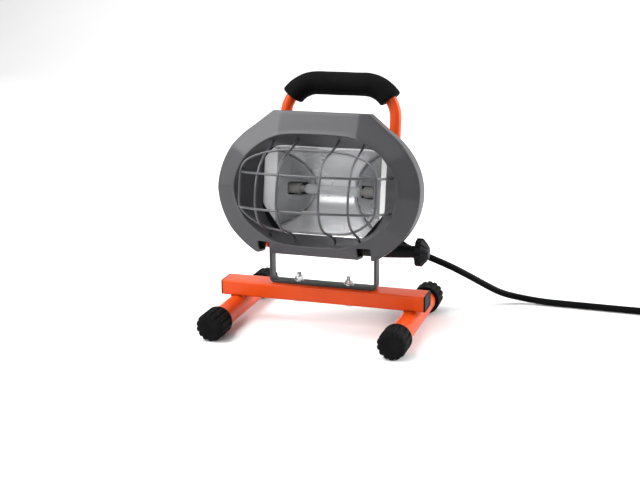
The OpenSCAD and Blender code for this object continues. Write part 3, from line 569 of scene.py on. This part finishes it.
def relief_at(s):
    c, d = math.cos(math.radians(RELIEF_ANGLE)), math.sin(math.radians(RELIEF_ANGLE))
    p = TO_HEAD @ Vector((WIRE_BOX_X - 6.5 + s * c, RELIEF_Y, WIRE_BOX_Z0 + 6.5 - s * d))
    return tuple(p / MM)


def coil_route():
    """Two turns out to in, two in to out on top of them, and part of a turn more."""
    z0 = TIE_T + CORD_R
    out, inner = COIL_R + TURN_STEP / 2, COIL_R - TURN_STEP / 2
    z1, z2 = z0 + LAYER_STEP, z0 + 2 * LAYER_STEP
    # turns wound so far, radius and height, held through each turn and changed between turns
    keys = [(0.0, out, z0), (0.9, out, z0), (1.1, inner, z0), (1.9, inner, z0), (2.1, inner, z1),
            (2.9, inner, z1), (3.1, out, z1), (3.9, out, z1), (4.1, COIL_R, z2), (4 + TOP_TURN, COIL_R, z2)]
    turns = [k[0] for k in keys]
    route = []
    for t in np.linspace(0, turns[-1], 300):
        r, z = (float(np.interp(t, turns, [k[i] for k in keys])) for i in (1, 2))
        a = 2 * math.pi * (t - 0.25)
        route.append((COIL_X + r * math.cos(a), COIL_Y + r * math.sin(a), z))
    return route


def cord_route():
    """The run over the floor, the coil, and the tail that crosses over the run to the plug."""
    coil = coil_route()
    run = smooth_route([relief_at(RELIEF_L + 10.6), relief_at(RELIEF_L + 22)] + CORD_MID + [coil[0]], 3)
    x, y, z = coil[-1]
    tail = smooth_route([coil[-1], (x - 0.2, y - 14, z), (x - 1.5, y - 30, z - 2),
                         (PLUG_X, y - 42, PLUG_R + 0.5), (PLUG_X, PLUG_Y + PLUG_TAPER + 0.1, PLUG_R)], 3)
    return run + coil[1:-1] + tail


def make_cord():
    route = cord_route()
    verts, faces = tube(route, CORD_R, 16)
    cord = piece("mains_cable", verts, faces, JACKET, None, ["mains_cord", "cord_coil"], "cord_jacket")
    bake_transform(cord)


make_cord()


# ------------------------------------------------------------ stand

def make_stand():
    outline = rounded_rect(BAR_W, BAR_H, BAR_CORNER, 8)
    inner = BAR_L / 2 - BAR_PLUG_T
    bar = slab(outline, -inner, inner, 0.25, "X")
    verts, faces = moved(bar, (0, 0, BAR_Z + BAR_H / 2))
    piece("crossbar_tube", verts, faces, ORANGE, "base", ["crossbar"], "orange_paint")

    plugs = []
    for side in (-1, 1):
        # A low rim round a flat end face: depth from the tube's end, inset from its outline
        levels = [(0, 0), (1.1, 0), (BAR_PLUG_T, 0.4), (BAR_PLUG_T, 1.4), (1.1, 1.7), (1.1, 2.4)]
        rings = [[(side * (inner + at), u, v + BAR_Z + BAR_H / 2) for u, v in shrunk(outline, inset)]
                 for at, inset in levels]
        plugs.append(loft(rings))
    verts, faces = join(*plugs)
    piece("crossbar_end_plugs", verts, faces, PLASTIC, "base", ["crossbar_plugs"], "black_plastic")

    for side, name in ((-1, "left"), (1, "right")):
        tube_half = STAND_DEPTH / 2 - CAP_END_T
        verts, faces = lathe([(-tube_half, FOOT_D / 2), (tube_half, FOOT_D / 2)], "Y", 64)
        verts, faces = moved((verts, faces), (side * FOOT_X, 0, FOOT_Z))
        piece(f"foot_tube_paint_{name}", verts, faces, ORANGE, "base", [f"foot_tube_{name}"], "orange_paint")
        for end, where in ((-1, "front"), (1, "rear")):
            verts, faces = moved(cap_shape(end), (side * FOOT_X, 0, FOOT_Z))
            piece(f"cap_{where}_{name}", verts, faces, RUBBER, "base", [f"foot_cap_{where}_{name}"],
                  "black_rubber", sharp=50)


def cap_shape(end):
    """Ribbed rubber cap with a domed end; flutes run along it and die out before the mouth."""
    r = CAP_D / 2
    tip = STAND_DEPTH / 2
    mouth = tip - CAP_L
    profile = [(mouth, FOOT_D / 2 + 0.1), (mouth, r - 0.8), (mouth + 0.25, r - 0.25), (mouth + 0.8, r)]
    profile += [(mouth + FLUTE_START + step, r) for step in (0, 0.4, 1.2, 5)]
    profile.append((tip - CAP_ROUND - 3, r))
    for k in range(9):
        a = math.pi / 2 * k / 8
        profile.append((tip - CAP_ROUND + CAP_ROUND * math.sin(a), r - CAP_ROUND * (1 - math.cos(a))))
    profile += [(tip, 6.0), (tip - 0.1, 2.0)]

    def flutes(angle, along):
        fade = min(1.0, max(0.0, (along - mouth - FLUTE_START) / 1.2))
        cut = max(0.0, -math.cos(angle * FLUTES) - 0.1) ** 0.7
        return 1 - FLUTE_DEPTH / r * cut * fade
    verts, faces = lathe(profile, "Y", 192, flutes)
    verts = [(x, end * y, max(z, -FOOT_Z)) for x, y, z in verts]
    return verts, faces


make_stand()


# ------------------------------------------------------------ yoke and its fasteners

def strip_along(path, width, thick, bevel=0.35):
    """A flat strip bent along a path in the XZ plane, width across Y."""
    rings = []
    for q, (t, _, _) in zip(path, frames(path)):
        across = Vector((0, 1, 0))
        out = t.cross(across)
        section = rounded_rect(width, thick, bevel, 3)
        rings.append([Vector(q) + across * u + out * v for u, v in section])
    return loft(rings)


def arc(cx, cz, r, a0, a1, steps, y=0.0):
    return [(cx + r * math.cos(math.radians(a0 + (a1 - a0) * k / steps)), y,
             cz + r * math.sin(math.radians(a0 + (a1 - a0) * k / steps))) for k in range(steps + 1)]


def make_yoke():
    """One strip bent into a U, and a round end on each leg at the pivot."""
    bend, half = YOKE_BEND, YOKE_SPAN / 2
    mid = YOKE_T / 2
    r = bend - mid
    path = [(-half + mid, 0, PIVOT_Z - 0.01), (-half + mid, 0, BAR_TOP + bend + 2)]
    path += arc(-half + bend, BAR_TOP + bend, r, 180, 270, 10)
    path += arc(half - bend, BAR_TOP + bend, r, 270, 360, 10)
    path += [(half - mid, 0, BAR_TOP + bend + 2), (half - mid, 0, PIVOT_Z - 0.01)]
    strip = strip_along(path, YOKE_W, YOKE_T)
    ends = []
    for side in (-1, 1):
        outline = [(-YOKE_W / 2, PIVOT_Z - 0.5), (YOKE_W / 2, PIVOT_Z - 0.5)]
        for a in range(90, -91, -10):
            turn = math.radians(a)
            outline.append((YOKE_W / 2 * math.sin(turn), YOKE_W / 2 * math.cos(turn) + PIVOT_Z))
        part = slab(outline, half - YOKE_T, half, 0.3, "X")
        ends.append(part if side > 0 else mirrored(part))
    verts, faces = join(strip, *ends)
    piece("yoke_strip", verts, faces, YOKE, "base", ["yoke"], "yoke_steel", sharp=30)


def hex_nut(af, low, high):
    """A hexagon with the round chamfer of a real nut, along Z."""
    corner = af / 2 / math.cos(math.radians(30))
    rings = []
    chamfer = ((low, 0.93), (low + 0.35, 1), (high - 0.5, 1), (high, 0.9))
    for at, share in chamfer:
        ring = []
        for k in range(72):
            a = math.radians(5 * k)
            flat = af / 2 / math.cos((a + math.radians(30)) % math.radians(60) - math.radians(30))
            r = min(flat, corner * share)
            ring.append((r * math.cos(a), r * math.sin(a), at))
        rings.append(ring)
    return loft(rings)


def threaded_end(r, low, high, pitch=0.8):
    profile = []
    at = low
    while at < high - 0.8:
        profile += [(at, r), (at + pitch * 0.5, r - 0.28)]
        at += pitch
    profile += [(high - 0.6, r), (high, r - 0.6)]
    return lathe(profile, "Z", 24)


def make_yoke_fasteners():
    """Washers, nuts and bolt ends on the yoke, and the bolt heads under the crossbar."""
    top = BAR_TOP + YOKE_T
    nut_low, nut_high = top + WASHER_T, top + WASHER_T + NUT_H
    washer = lathe([(top, 5), (top + 0.15, 5.0), (top + 0.9, 5), (top + WASHER_T, 4.8)], "Z", 48)
    nuts, washers, bolts = [], [], []
    for x in (-YOKE_BOLT_X, YOKE_BOLT_X):
        washers.append(moved(washer, (x, 0, 0)))
        nuts.append(moved(hex_nut(NUT_AF, nut_low, nut_high), (x, 0, 0)))
        bolts.append(moved(threaded_end(BOLT_R, nut_high - 0.5, nut_high + 4), (x, 0, 0)))
        bolts.append(moved(hex_nut(NUT_AF, BAR_Z - 3.5, BAR_Z), (x, 0, 0)))
    for name, parts, node in (("yoke_nut_pair", nuts, "yoke_nuts"),
                              ("yoke_washer_pair", washers, "yoke_washers"),
                              ("yoke_bolt_pair", bolts, "yoke_bolts")):
        verts, faces = join(*parts)
        piece(name, verts, faces, ZINC, "base", [node], "zinc_steel", sharp=25)


make_yoke()
make_yoke_fasteners()


# ------------------------------------------------------------ shroud

def line_at(d, p, q):
    n = (p[1] - q[1], q[0] - p[0])
    s = n[0] * d[0] + n[1] * d[1]
    return 999.0 if s <= 0 else (n[0] * p[0] + n[1] * (p[1] - OVAL_Z)) / s


def ellipse_at(d, a, b):
    return 1 / math.sqrt((d[0] / a) ** 2 + (d[1] / b) ** 2)


def flats(d, top, sill):
    up = (top - OVAL_Z) / d[1] if d[1] > 1e-9 else 999.0
    down = (sill - OVAL_Z) / d[1] if d[1] < -1e-9 else 999.0
    return min(up, down)


def oval_at(d):
    r = ellipse_at(d, OVAL_A, OVAL_B)
    return browed(d, r, (BROW_X, BROW_Z), (SHOULDER_X, SHOULDER_Z), SILL_Z)


def mouth_at(d):
    """The mouth's oval, its flat top and sill blended in."""
    oval = ellipse_at(d, MOUTH_A, MOUTH_B)
    return soft_least((1.02 * oval, 1.01 * flats(d, MOUTH_TOP, MOUTH_SILL)), MOUTH_ROUNDING)


def soft_least(distances, sharpness):
    """The least of several distances, with the corners where they cross rounded off."""
    return sum(min(v, 999.0) ** -sharpness for v in distances) ** (-1 / sharpness)


def browed(d, r, corner, shoulder, sill):
    """Distance r raised to the straight brow line above the shoulder, and cut at the brow and the sill."""
    e = (abs(d[0]), d[1])
    if math.atan2(e[1], e[0]) >= math.atan2(shoulder[1] - OVAL_Z, shoulder[0]):
        r = max(r, line_at(e, corner, shoulder))
    return min(r, flats(d, corner[1], sill))


def throat_at(d):
    """The window behind the mouth: sides, top, sill and the housing's chamfers, blended at the corners."""
    side = WINDOW_A / max(1e-6, abs(d[0]))
    level = flats(d, WINDOW_TOP, WINDOW_SILL)
    return soft_least((side, level, cast_at(d, 4.5)), WINDOW_ROUNDING)


def cast_at(d, inset):
    e, h = (abs(d[0]), d[1]), CAST_HALF
    return min(line_at(e, h[1], h[0]), line_at(e, h[2], h[1]), line_at(e, h[3], h[2]),
               flats(d, h[3][1], h[0][1])) - inset


# Spokes of the shroud, top to bottom on the right: outer angle, its mouth angle, steps to the next
SPOKES = [(90.0, 90.0, 16), (62.4, 53.2, 6), (57.36, 48.0, 14), (41.2, 32.2, 24), (0.0, 0.0, 16),
          (-25.5, -28.0, 14), (-46.9, -52.0, 20), (-90.0, -90.0, 0)]
# Flat facets of the face: direction, how far out each starts to fall back, and its slope
FACETS = [(90.0, 53.5, 0.39), (57.3, 66.7, 0.463), (17.0, 79.5, 0.41), (-24.0, 76.0, 0.39),
          (-55.0, 64.0, 0.39), (-90.0, 54.5, 0.75)]


def spokes():
    """(outer direction, mouth direction) of all spokes, all the way round."""
    right = []
    for (a0, b0, n), (a1, b1, _) in zip(SPOKES, SPOKES[1:]):
        right += [(a0 + (a1 - a0) * k / n, b0 + (b1 - b0) * k / n) for k in range(n)]
    right.append(SPOKES[-1][:2])
    angles = right + [(180 - a, 180 - b) for a, b in reversed(right[1:-1])]
    return [tuple((math.cos(math.radians(v)), math.sin(math.radians(v))) for v in pair) for pair in angles]


def face_y(x, z):
    """Depth of the face at a point: its crown falling back over the nearest facet."""
    rises = []
    for turn, start, slope in FACETS:
        a = math.radians(turn)
        rises.append(slope * (abs(x) * math.cos(a) + (z - OVAL_Z) * math.sin(a) - start))
    return CROWN_Y + max(rises)


def shroud_rings():
    """Rings from the rim's rear over the face and the mouth to the throat, and back inside the wall."""
    all_spokes = spokes()
    rings = []

    def on_face(share, inset=0.0, back=0.0, at=None):
        """Between the outer edge (share 0) and the mouth (share 1), back behind the face or at a depth."""
        ring = []
        for d, e in all_spokes:
            r, m = oval_at(d) - inset, mouth_at(e)
            x = (1 - share) * r * d[0] + share * m * e[0]
            z = OVAL_Z + (1 - share) * r * d[1] + share * m * e[1]
            ring.append((x, face_y(x, z) + back if at is None else at, z))
        rings.append(ring)

    def in_mouth(grow, back=0.0, depth=0.0):
        """Round the mouth, or the part depth of the way from its edge to the throat."""
        ring = []
        for _, e in all_spokes:
            m, t = mouth_at(e), throat_at(e)
            edge = face_y(m * e[0], OVAL_Z + m * e[1]) + back
            r = (1 - depth) * m + depth * t + grow
            ring.append((r * e[0], edge + (THROAT_Y - edge) * depth, OVAL_Z + r * e[1]))
        rings.append(ring)

    on_face(0, 0.3, at=RIM_Y)
    on_face(0, 0.0, at=RIM_Y - 0.4)
    for inset, back in ((0.0, 1.5), (0.2, 0.7), (0.7, 0.25), (1.3, 0.05)):
        on_face(0, inset, back)
    for share in (0.15, 0.3, 0.45, 0.6, 0.75, 0.88):
        on_face(share)
    for grow, back in ((1.3, 0.1), (0.6, 0.35), (0.15, 0.9), (0.0, 1.7)):
        in_mouth(grow, back)
    for depth in (0.08, 0.3, 0.6, 0.9, 1.0):
        in_mouth(0.0, 1.7, depth)
    in_mouth(SHROUD_T, 3.6, 1.0)
    in_mouth(SHROUD_T, 3.6)
    for share, inset in ((0.75, 0.0), (0.4, 0.0), (0.05, 2.5)):
        on_face(share, inset, 3.2)
    on_face(0, SHROUD_T, at=RIM_Y)
    return rings


def cut_away(obj, cutters):
    """Cuts the objects from obj and removes them."""
    for tool in cutters:
        mod = obj.modifiers.new("cut", "BOOLEAN")
        mod.operation = "DIFFERENCE"
        mod.solver = "EXACT"
        mod.object = tool
    apply_modifiers(obj)
    for tool in cutters:
        bpy.data.objects.remove(tool)


def apply_modifiers(obj):
    bpy.context.view_layer.update()
    dg = bpy.context.evaluated_depsgraph_get()
    mesh = bpy.data.meshes.new_from_object(obj.evaluated_get(dg))
    obj.modifiers.clear()
    obj.data = mesh


def cutter(part):
    mesh = bpy.data.meshes.new("cutter")
    mesh.from_pydata(place(part[0], TO_HEAD), [], part[1])
    face_outwards(mesh)
    obj = bpy.data.objects.new("cutter", mesh)
    bpy.context.scene.collection.objects.link(obj)
    return obj


def make_shroud():
    verts, faces = loft(shroud_rings(), closed=True)
    shroud = piece("shroud_shell", verts, faces, GREY, "head", ["front_shroud"], "grey_shroud", TO_HEAD,
                   SHROUD_SHARP)
    notches = []
    for side in (-1, 1):
        x = side * NOTCH_X
        outline = rounded_rect(NOTCH_W, NOTCH_H + 4, 1.2)
        part = slab(outline, CROWN_Y - 3, RIM_Y + 6, 0.1, "Y")
        notches.append(cutter(moved(part, (x, 0, SILL_Z - 1 - 4 + (NOTCH_H + 4 + 1) / 2))))
    cut_away(shroud, notches)
    smooth_except(shroud.data, SHROUD_SHARP)
    mark_brow_creases(shroud.data)


def mark_brow_creases(mesh):
    """Sharp edges above the mouth's corners, where the flat brow meets the sloping shoulders."""
    to_local = TO_HEAD.inverted()
    local = [to_local @ v.co for v in mesh.vertices]
    for edge in mesh.edges:
        ends = [local[i] for i in edge.vertices]
        above = all(q.z > MOUTH_TOP - 1 and q.y < FACE_Y + 1 for q in ends)
        if above and all(abs(abs(q.x) - MOUTH_BROW_X) < 0.5 for q in ends):
            edge.use_edge_sharp = True


make_shroud()


# ------------------------------------------------------------ wire guard

GUARD_R = 1.2
# Bars as (distance in front of the face line, height), the cross bar and the rim as (x, distance[, height])
INNER_BAR = [(-1, 108.5), (0, 105), (22, 96), (44, 90), (57, 76), (59.5, 56), (58.5, 38), (45, 22),
             (18, 15.5), (0, 10.5), (-1, 5.5)]
OUTER_BAR = [(0, 103.5), (4, 99.5), (25, 91), (39, 80), (46, 67), (48, 54), (47, 40), (36, 25),
             (14, 16.5), (2, 12.5), (0, 8.5)]
CROSS_BAR = [(79.5, -7), (76.5, 2), (70, 28), (58, 40), (40, 50), (20, 57)]
RIM_BAR = [(0, 20, 96), (30, 20, 96), (48, 23, 92), (62, 28, 86), (68, 31, 78), (68.5, 31, 66),
           (68.5, 31, 44), (67.5, 30, 38), (61, 26, 30), (48, 20, 21), (32, 17, 16.5), (0, 17, 16.5)]
INNER_BAR_X, OUTER_BAR_X, CROSS_BAR_Z = 20.7, 46, (73, 39)


def make_guard():
    wires = []
    for x, bar in ((-INNER_BAR_X, INNER_BAR), (INNER_BAR_X, INNER_BAR),
                   (-OUTER_BAR_X, OUTER_BAR), (OUTER_BAR_X, OUTER_BAR)):
        wires.append(tube(smooth_route([(x, FACE_Y - off, z) for off, z in bar], 3), GUARD_R, 12))
    for z in CROSS_BAR_Z:
        half = [(x, FACE_Y - off, z) for x, off in CROSS_BAR]
        whole = [(-x, y, z) for x, y, z in half] + half[::-1]
        wires.append(tube(smooth_route(whole, 3), GUARD_R, 12))
    right = [(x, FACE_Y - off, z) for x, off, z in RIM_BAR]
    ring = right + [(-x, y, z) for x, y, z in right[-2:0:-1]]
    route = smooth_route(ring, 3, closed=True)
    wires.append(tube(route + [route[0], route[1]], GUARD_R, 12))
    verts, faces = join(*wires)
    piece("guard_wires", verts, faces, WIRE, "head", ["wire_guard"], "guard_wire", TO_HEAD)


make_guard()


# ------------------------------------------------------------ lamp, reflector and glass

TROUGH_H, TROUGH_CURVE, SHEET_T = 44.5, 2.4, 0.6
TROUGH_Y0, TROUGH_Y1 = -3.4, 36.0
# Plan of the right half: front edge, fold of the end plate, back corner
TROUGH_X0, FOLD_X, FOLD_Y, TROUGH_X1 = 65.5, 55.0, 6.0, 22.0
HOLE_Y, HOLE_Z = 7.5, 6.5
LAMP_R, LAMP_HALF, CAP_R, CAP_HALF = 5.0, 30.0, 3.4, 39.0
COIL_WIRE_R, FILAMENT_R, FILAMENT_HALF = 0.22, 1.1, 26
GLASS_INSET = 3.6


def trough_y(s):
    return TROUGH_Y1 - (TROUGH_Y1 - TROUGH_Y0) * abs(s) ** TROUGH_CURVE


def plate_x(y):
    if y < FOLD_Y:
        return TROUGH_X0 + (FOLD_X - TROUGH_X0) * (y - TROUGH_Y0) / (FOLD_Y - TROUGH_Y0)
    return FOLD_X + (TROUGH_X1 - FOLD_X) * (y - FOLD_Y) / (TROUGH_Y1 - FOLD_Y)


def cast_x(z):
    """Half width left for the sheets inside the housing at a height."""
    (x0, z0), (x1, z1), (x2, z2), (x3, z3) = CAST_HALF
    return float(np.interp(z, (z0, z1, z2, z3), (x0, x1, x2, x3))) - CAST_T - 1.5


def grid(rows):
    """A sheet through rows of equally many points."""
    n = len(rows[0])
    faces = [(k * n + m, k * n + m + 1, (k + 1) * n + m + 1, (k + 1) * n + m)
             for k in range(len(rows) - 1) for m in range(n - 1)]
    return [p for row in rows for p in row], faces


def sheet_piece(name, part, material, stands_for=()):
    obj = piece(name, *part, material, "head", stands_for, "reflector_sheet", TO_HEAD, 40)
    thick = obj.modifiers.new("sheet", "SOLIDIFY")
    thick.thickness = SHEET_T * MM
    thick.offset = 0
    return obj


def end_plate(side, y_from, y_to, gap, hole=False):
    """Part of an end plate between two depths inside the trough's curve, with the lamp's hole or not."""
    reach = ((TROUGH_Y1 - y_from) / (TROUGH_Y1 - TROUGH_Y0)) ** (1 / TROUGH_CURVE) * TROUGH_H - gap
    heights = sorted(set(np.linspace(-reach, reach, 65)) | {-HOLE_Z, HOLE_Z})
    cuts = [(LAMP_Y + v * HOLE_Y - y_from) / (y_to - y_from) for v in (-1, 1)] if hole else []
    shares = sorted(set(np.linspace(0, 1, 13)) | set(cuts))
    rows = []
    for z in heights:
        back = min(y_to, trough_y((abs(z) + gap) / TROUGH_H))
        depths = [y_from + (back - y_from) * share for share in shares]
        rows.append([(side * min(plate_x(y), cast_x(LAMP_Z + z)), y, LAMP_Z + z) for y in depths])
    verts, faces = grid(rows)
    if hole:
        n = len(shares)
        faces = [f for f in faces if not (-HOLE_Z <= heights[f[0] // n] < HOLE_Z
                                          and cuts[0] <= shares[f[0] % n] < cuts[1])]
    return verts, faces


def make_reflector():
    rows = []
    for k in range(65):
        s = -1 + k / 32
        y = trough_y(s)
        half = min(plate_x(y), cast_x(LAMP_Z + TROUGH_H * s))
        rows.append([(-half + 2 * half * m / 12, y, LAMP_Z + TROUGH_H * s) for m in range(13)])
    sheet_piece("reflector_trough", grid(rows), MIRROR, ["reflector"])
    # Flanges take the lit copy of the sheet (painted highlight), end plates the shaded copy (painted shade).
    for side, name in ((-1, "left"), (1, "right")):
        sheet_piece(f"reflector_flange_painted_highlight_{name}", end_plate(side, TROUGH_Y0, FOLD_Y, 0.2), LIT_FLANGE_SHEET)
        sheet_piece(f"reflector_end_{name}", end_plate(side, FOLD_Y, TROUGH_Y1 - 0.6, 0.7, True), SHADED_END_SHEET)


def make_lamp():
    """Quartz tube, the ceramic cap and contact at each end, and the coiled filament inside."""
    at_lamp = (0, LAMP_Y, LAMP_Z)
    half = [(LAMP_HALF - 2.5, LAMP_R), (LAMP_HALF - 0.5, 3.5), (LAMP_HALF, 1.0)]
    glass = lathe([(-along, r) for along, r in reversed(half)] + half, "X", 48)
    piece("lamp_tube", *moved(glass, at_lamp), QUARTZ, "head", ["halogen_lamp"], "quartz", TO_HEAD)
    profile = [(LAMP_HALF - 0.4, CAP_R - 0.5), (LAMP_HALF, CAP_R), (CAP_HALF - 2, CAP_R)]
    profile += [(CAP_HALF - 1.4, CAP_R - 0.6), (CAP_HALF - 1.3, 1.2), (CAP_HALF - 0.2, 1.0), (CAP_HALF, 0.6)]
    cap = lathe(profile, "X", 36)
    verts, faces = join(moved(mirrored(cap), at_lamp), moved(cap, at_lamp))
    piece("lamp_ends", verts, faces, CERAMIC, "head", (), "ceramic", TO_HEAD)
    helix = [(x, LAMP_Y + FILAMENT_R * math.cos(x * 3), LAMP_Z + FILAMENT_R * math.sin(x * 3))
             for x in np.linspace(-FILAMENT_HALF, FILAMENT_HALF, 400)]
    piece("lamp_filament", *tube(helix, COIL_WIRE_R, 5), ZINC, "head", (), "zinc_steel", TO_HEAD)


def make_glass():
    outline = cast_outline(GLASS_INSET)
    part = slab(outline, GLASS_Y, GLASS_Y + GLASS_T, 0.3, "Y")
    piece("front_glass", *part, GLASS, "head", ["lens_glass"], "clear_glass", TO_HEAD)


def cast_outline(inset):
    """The housing's mouth with rounded corners, moved inwards."""
    corners = CAST_HALF + [(-x, z) for x, z in reversed(CAST_HALF)]
    return shrunk(rounded_outline(corners, 11), inset)


make_reflector()
make_lamp()
make_glass()


# ------------------------------------------------------------ handle

def hoop_route():
    """Points of the whole hoop from pivot to pivot, with its half thickness across X and half height."""
    leg = []
    for k in range(13):
        y = -HOOP_FLAT_R * math.cos(math.pi / 2 * k / 12)
        high = math.sqrt(max(0.0, HOOP_FLAT_R ** 2 - y * y))
        leg.append(((HANDLE_X, y, 0), HOOP_FLAT_T / 2, max(0.3, high)))
    leg.append(((HANDLE_X, HOOP_FLAT_Y - 4, 0), HOOP_FLAT_T / 2, HOOP_FLAT_R))
    for k in range(9):
        t = k / 8
        ease = t * t * (3 - 2 * t)
        y = HOOP_FLAT_Y - 1 + (HOOP_ROUND_Y - HOOP_FLAT_Y + 1) * t
        thick = HOOP_FLAT_T / 2 + (HANDLE_R - HOOP_FLAT_T / 2) * ease
        leg.append(((HANDLE_X, y, 0), thick, HOOP_FLAT_R + (HANDLE_R - HOOP_FLAT_R) * ease))
    for k in range(1, 13):
        a = math.pi / 2 * k / 12
        y, z = HOOP_Y - HOOP_FOOT_R + HOOP_FOOT_R * math.sin(a), HOOP_FOOT_R * (1 - math.cos(a))
        leg.append(((HANDLE_X, y, z), HANDLE_R, HANDLE_R))
    top = HANDLE_Z - HOOP_R
    leg.append(((HANDLE_X, HOOP_Y, top / 2), HANDLE_R, HANDLE_R))
    for k in range(21):
        a = math.pi / 2 * k / 20
        x, z = HANDLE_X - HOOP_R + HOOP_R * math.cos(a), top + HOOP_R * math.sin(a)
        leg.append(((x, HOOP_Y, z), HANDLE_R, HANDLE_R))
    left = [((-p[0], p[1], p[2]), u, v) for p, u, v in reversed(leg)]
    return leg + left


def make_handle():
    """The hoop, with one steady direction across its flattened ends carried along it."""
    stations = hoop_route()
    rings = []
    across = Vector((1, 0, 0))
    for (q, u, v), (t, _, _) in zip(stations, frames([at for at, _, _ in stations])):
        level = across - t * across.dot(t)
        across = level.normalized() if level.length > 1e-6 else across
        up = t.cross(across)
        turns = [2 * math.pi * k / HOOP_SIDES for k in range(HOOP_SIDES)]
        rings.append([Vector(q) + across * u * math.cos(a) + up * v * math.sin(a) for a in turns])
    verts, faces = loft(rings)
    piece("hoop_tube", verts, faces, ORANGE, "head", ["handle_tube"], "orange_paint", TO_HEAD, 60)


def grip_route():
    """The part of the hoop inside the grip: over one shoulder, along the top and down the other."""
    top = HANDLE_Z - HOOP_R
    straight = HANDLE_X - HOOP_R
    path = []
    for k in range(25):
        a = math.radians(90 - GRIP_TURN + GRIP_TURN * k / 24)
        path.append((straight + HOOP_R * math.cos(a), HOOP_Y, top + HOOP_R * math.sin(a)))
    path += [(straight * (1 - t / 6), HOOP_Y, HANDLE_Z) for t in range(1, 7)]
    return path + [(-x, y, z) for x, y, z in reversed(path[:-1])]


def along_route(path):
    """Distances along the path, close together at its ends, and the points there."""
    total = [0.0]
    for p, q in zip(path, path[1:]):
        total.append(total[-1] + (Vector(q) - Vector(p)).length)
    length = total[-1]
    near_ends = (0.0, 0.25, 0.7, 1.4, 2.2)
    stations = sorted({round(e, 3) for e in near_ends} | {round(length - e, 3) for e in near_ends}
                      | {round(v, 3) for v in np.linspace(3, length - 3, 90)})
    points = []
    for at in stations:
        i = max(0, min(len(total) - 2, int(np.searchsorted(total, at)) - 1))
        t = (at - total[i]) / (total[i + 1] - total[i])
        points.append(tuple(Vector(path[i]).lerp(Vector(path[i + 1]), t)))
    return stations, points, length


def make_grip():
    """A foam sleeve with rounded ends, a little uneven as soft foam is."""
    stations, points, length = along_route(grip_route())
    rings = []
    for at, q, (_, n, b) in zip(stations, points, frames(points)):
        edge = min(at, length - at)
        r = GRIP_R
        if edge < GRIP_ROUNDING:
            r += math.sqrt(max(0.0, GRIP_ROUNDING ** 2 - (GRIP_ROUNDING - edge) ** 2)) - GRIP_ROUNDING
        ring = []
        for k in range(GRIP_SIDES):
            a = 2 * math.pi * k / GRIP_SIDES
            d = n * math.cos(a) + b * math.sin(a)
            p = Vector(q) + d * r
            ring.append(p + d * GRIP_LUMPS * noise.noise(p * 0.11))
        rings.append(ring)

    def bore(ring, q):
        return [Vector(q) + (v - Vector(q)).normalized() * (HANDLE_R + 0.15) for v in ring]
    verts, faces = loft([bore(rings[0], points[0])] + rings + [bore(rings[-1], points[-1])], cap=False)
    grip = piece("foam_grip", verts, faces, FOAM, "head", ["handle_grip"], "grip_foam", TO_HEAD, 60)


make_handle()
make_grip()


# ------------------------------------------------------------ pivot and knob

KNOB_X, KNOB_FLANGE_X, KNOB_FLANGE_T, KNOB_TIP_X, KNOB_R = 62.2, 95.8, 6.5, 108.5, 14.0
KNOB_LOBES, KNOB_RIBS = 10, 20


def make_knob():
    """A ribbed neck, a lobed flange from x0 to x1 and a cone to the tip at x2."""
    x0, x1, x2 = KNOB_FLANGE_X, KNOB_FLANGE_X + KNOB_FLANGE_T, KNOB_TIP_X

    def lobes(angle, along):
        if along < x0 - 0.1:
            return 1 + 0.02 * math.cos(angle * KNOB_RIBS) * (along > KNOB_X + 2)
        cut = max(0.0, math.cos(angle * KNOB_LOBES) - 0.35)
        return 1 - 0.16 * cut * (1 if along < x1 + 4 else 0.3)
    profile = [(KNOB_X, 6.5), (KNOB_X, 7.6), (KNOB_X + 0.4, 8)]
    profile += [(KNOB_X + 8, 7.5), (KNOB_X + 16, 7.0), (KNOB_X + 24, 6.4), (x0 - 4, 5.9)]
    profile += [(x0 - 1.6, 6.2), (x0 - 0.4, 8), (x0, 10), (x0, KNOB_R - 0.8), (x0 + 0.25, KNOB_R - 0.2)]
    profile += [(x0 + 0.8, KNOB_R), (x1 - 0.8, KNOB_R), (x1 - 0.2, KNOB_R - 0.3), (x1 + 0.2, KNOB_R - 1)]
    profile += [(x1 + 1, 12.2), (x1 + 3, 10), (x1 + 4.6, 8), (x2 - 0.8, 6.6), (x2 - 0.2, 6)]
    profile += [(x2, 5.2), (x2, 0.6)]
    verts, faces = lathe(profile, "X", 160, lobes)
    piece("clamp_knob", verts, faces, PLASTIC, "knob", ["tilt_knob"], "black_plastic", TO_HEAD, 40)


make_knob()

# ------------------------------------------------------------ carried-over CAD nodes

NODE_SHARP = 30
FINISH = (
    (ORANGE, ("foot_welds",)),
    (CASTING, ("housing", "wiring_box")),
    (PLASTIC, ("box_cover", "switch_body", "cord_tie")),
    (GLOSS, ("switch_rocker",)),
    (RUBBER, ("strain_relief", "mains_plug", "lens_gasket", "box_gasket")),
    (ZINC, ("shroud_screws", "box_screws", "cover_screws", "pivot_bolts", "pivot_washers", "pivot_nut")),
    (CERAMIC, ("lampholder_left", "lampholder_right", "connector_block")),
    (BRASS, ("lampholder_contacts", "knob_insert", "plug_blades")),
    (GROUND, ("ground_screw",)),
    (SLEEVE, ("lamp_leads",)),
)


def finish_frame_nodes():
    """Materials and smooth shading on the CAD nodes that no piece replaces."""
    for material, names in FINISH:
        for name in names:
            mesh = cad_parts[name].data
            mesh.materials.clear()
            mesh.materials.append(material)
            smooth_except(mesh, NODE_SHARP)


finish_frame_nodes()
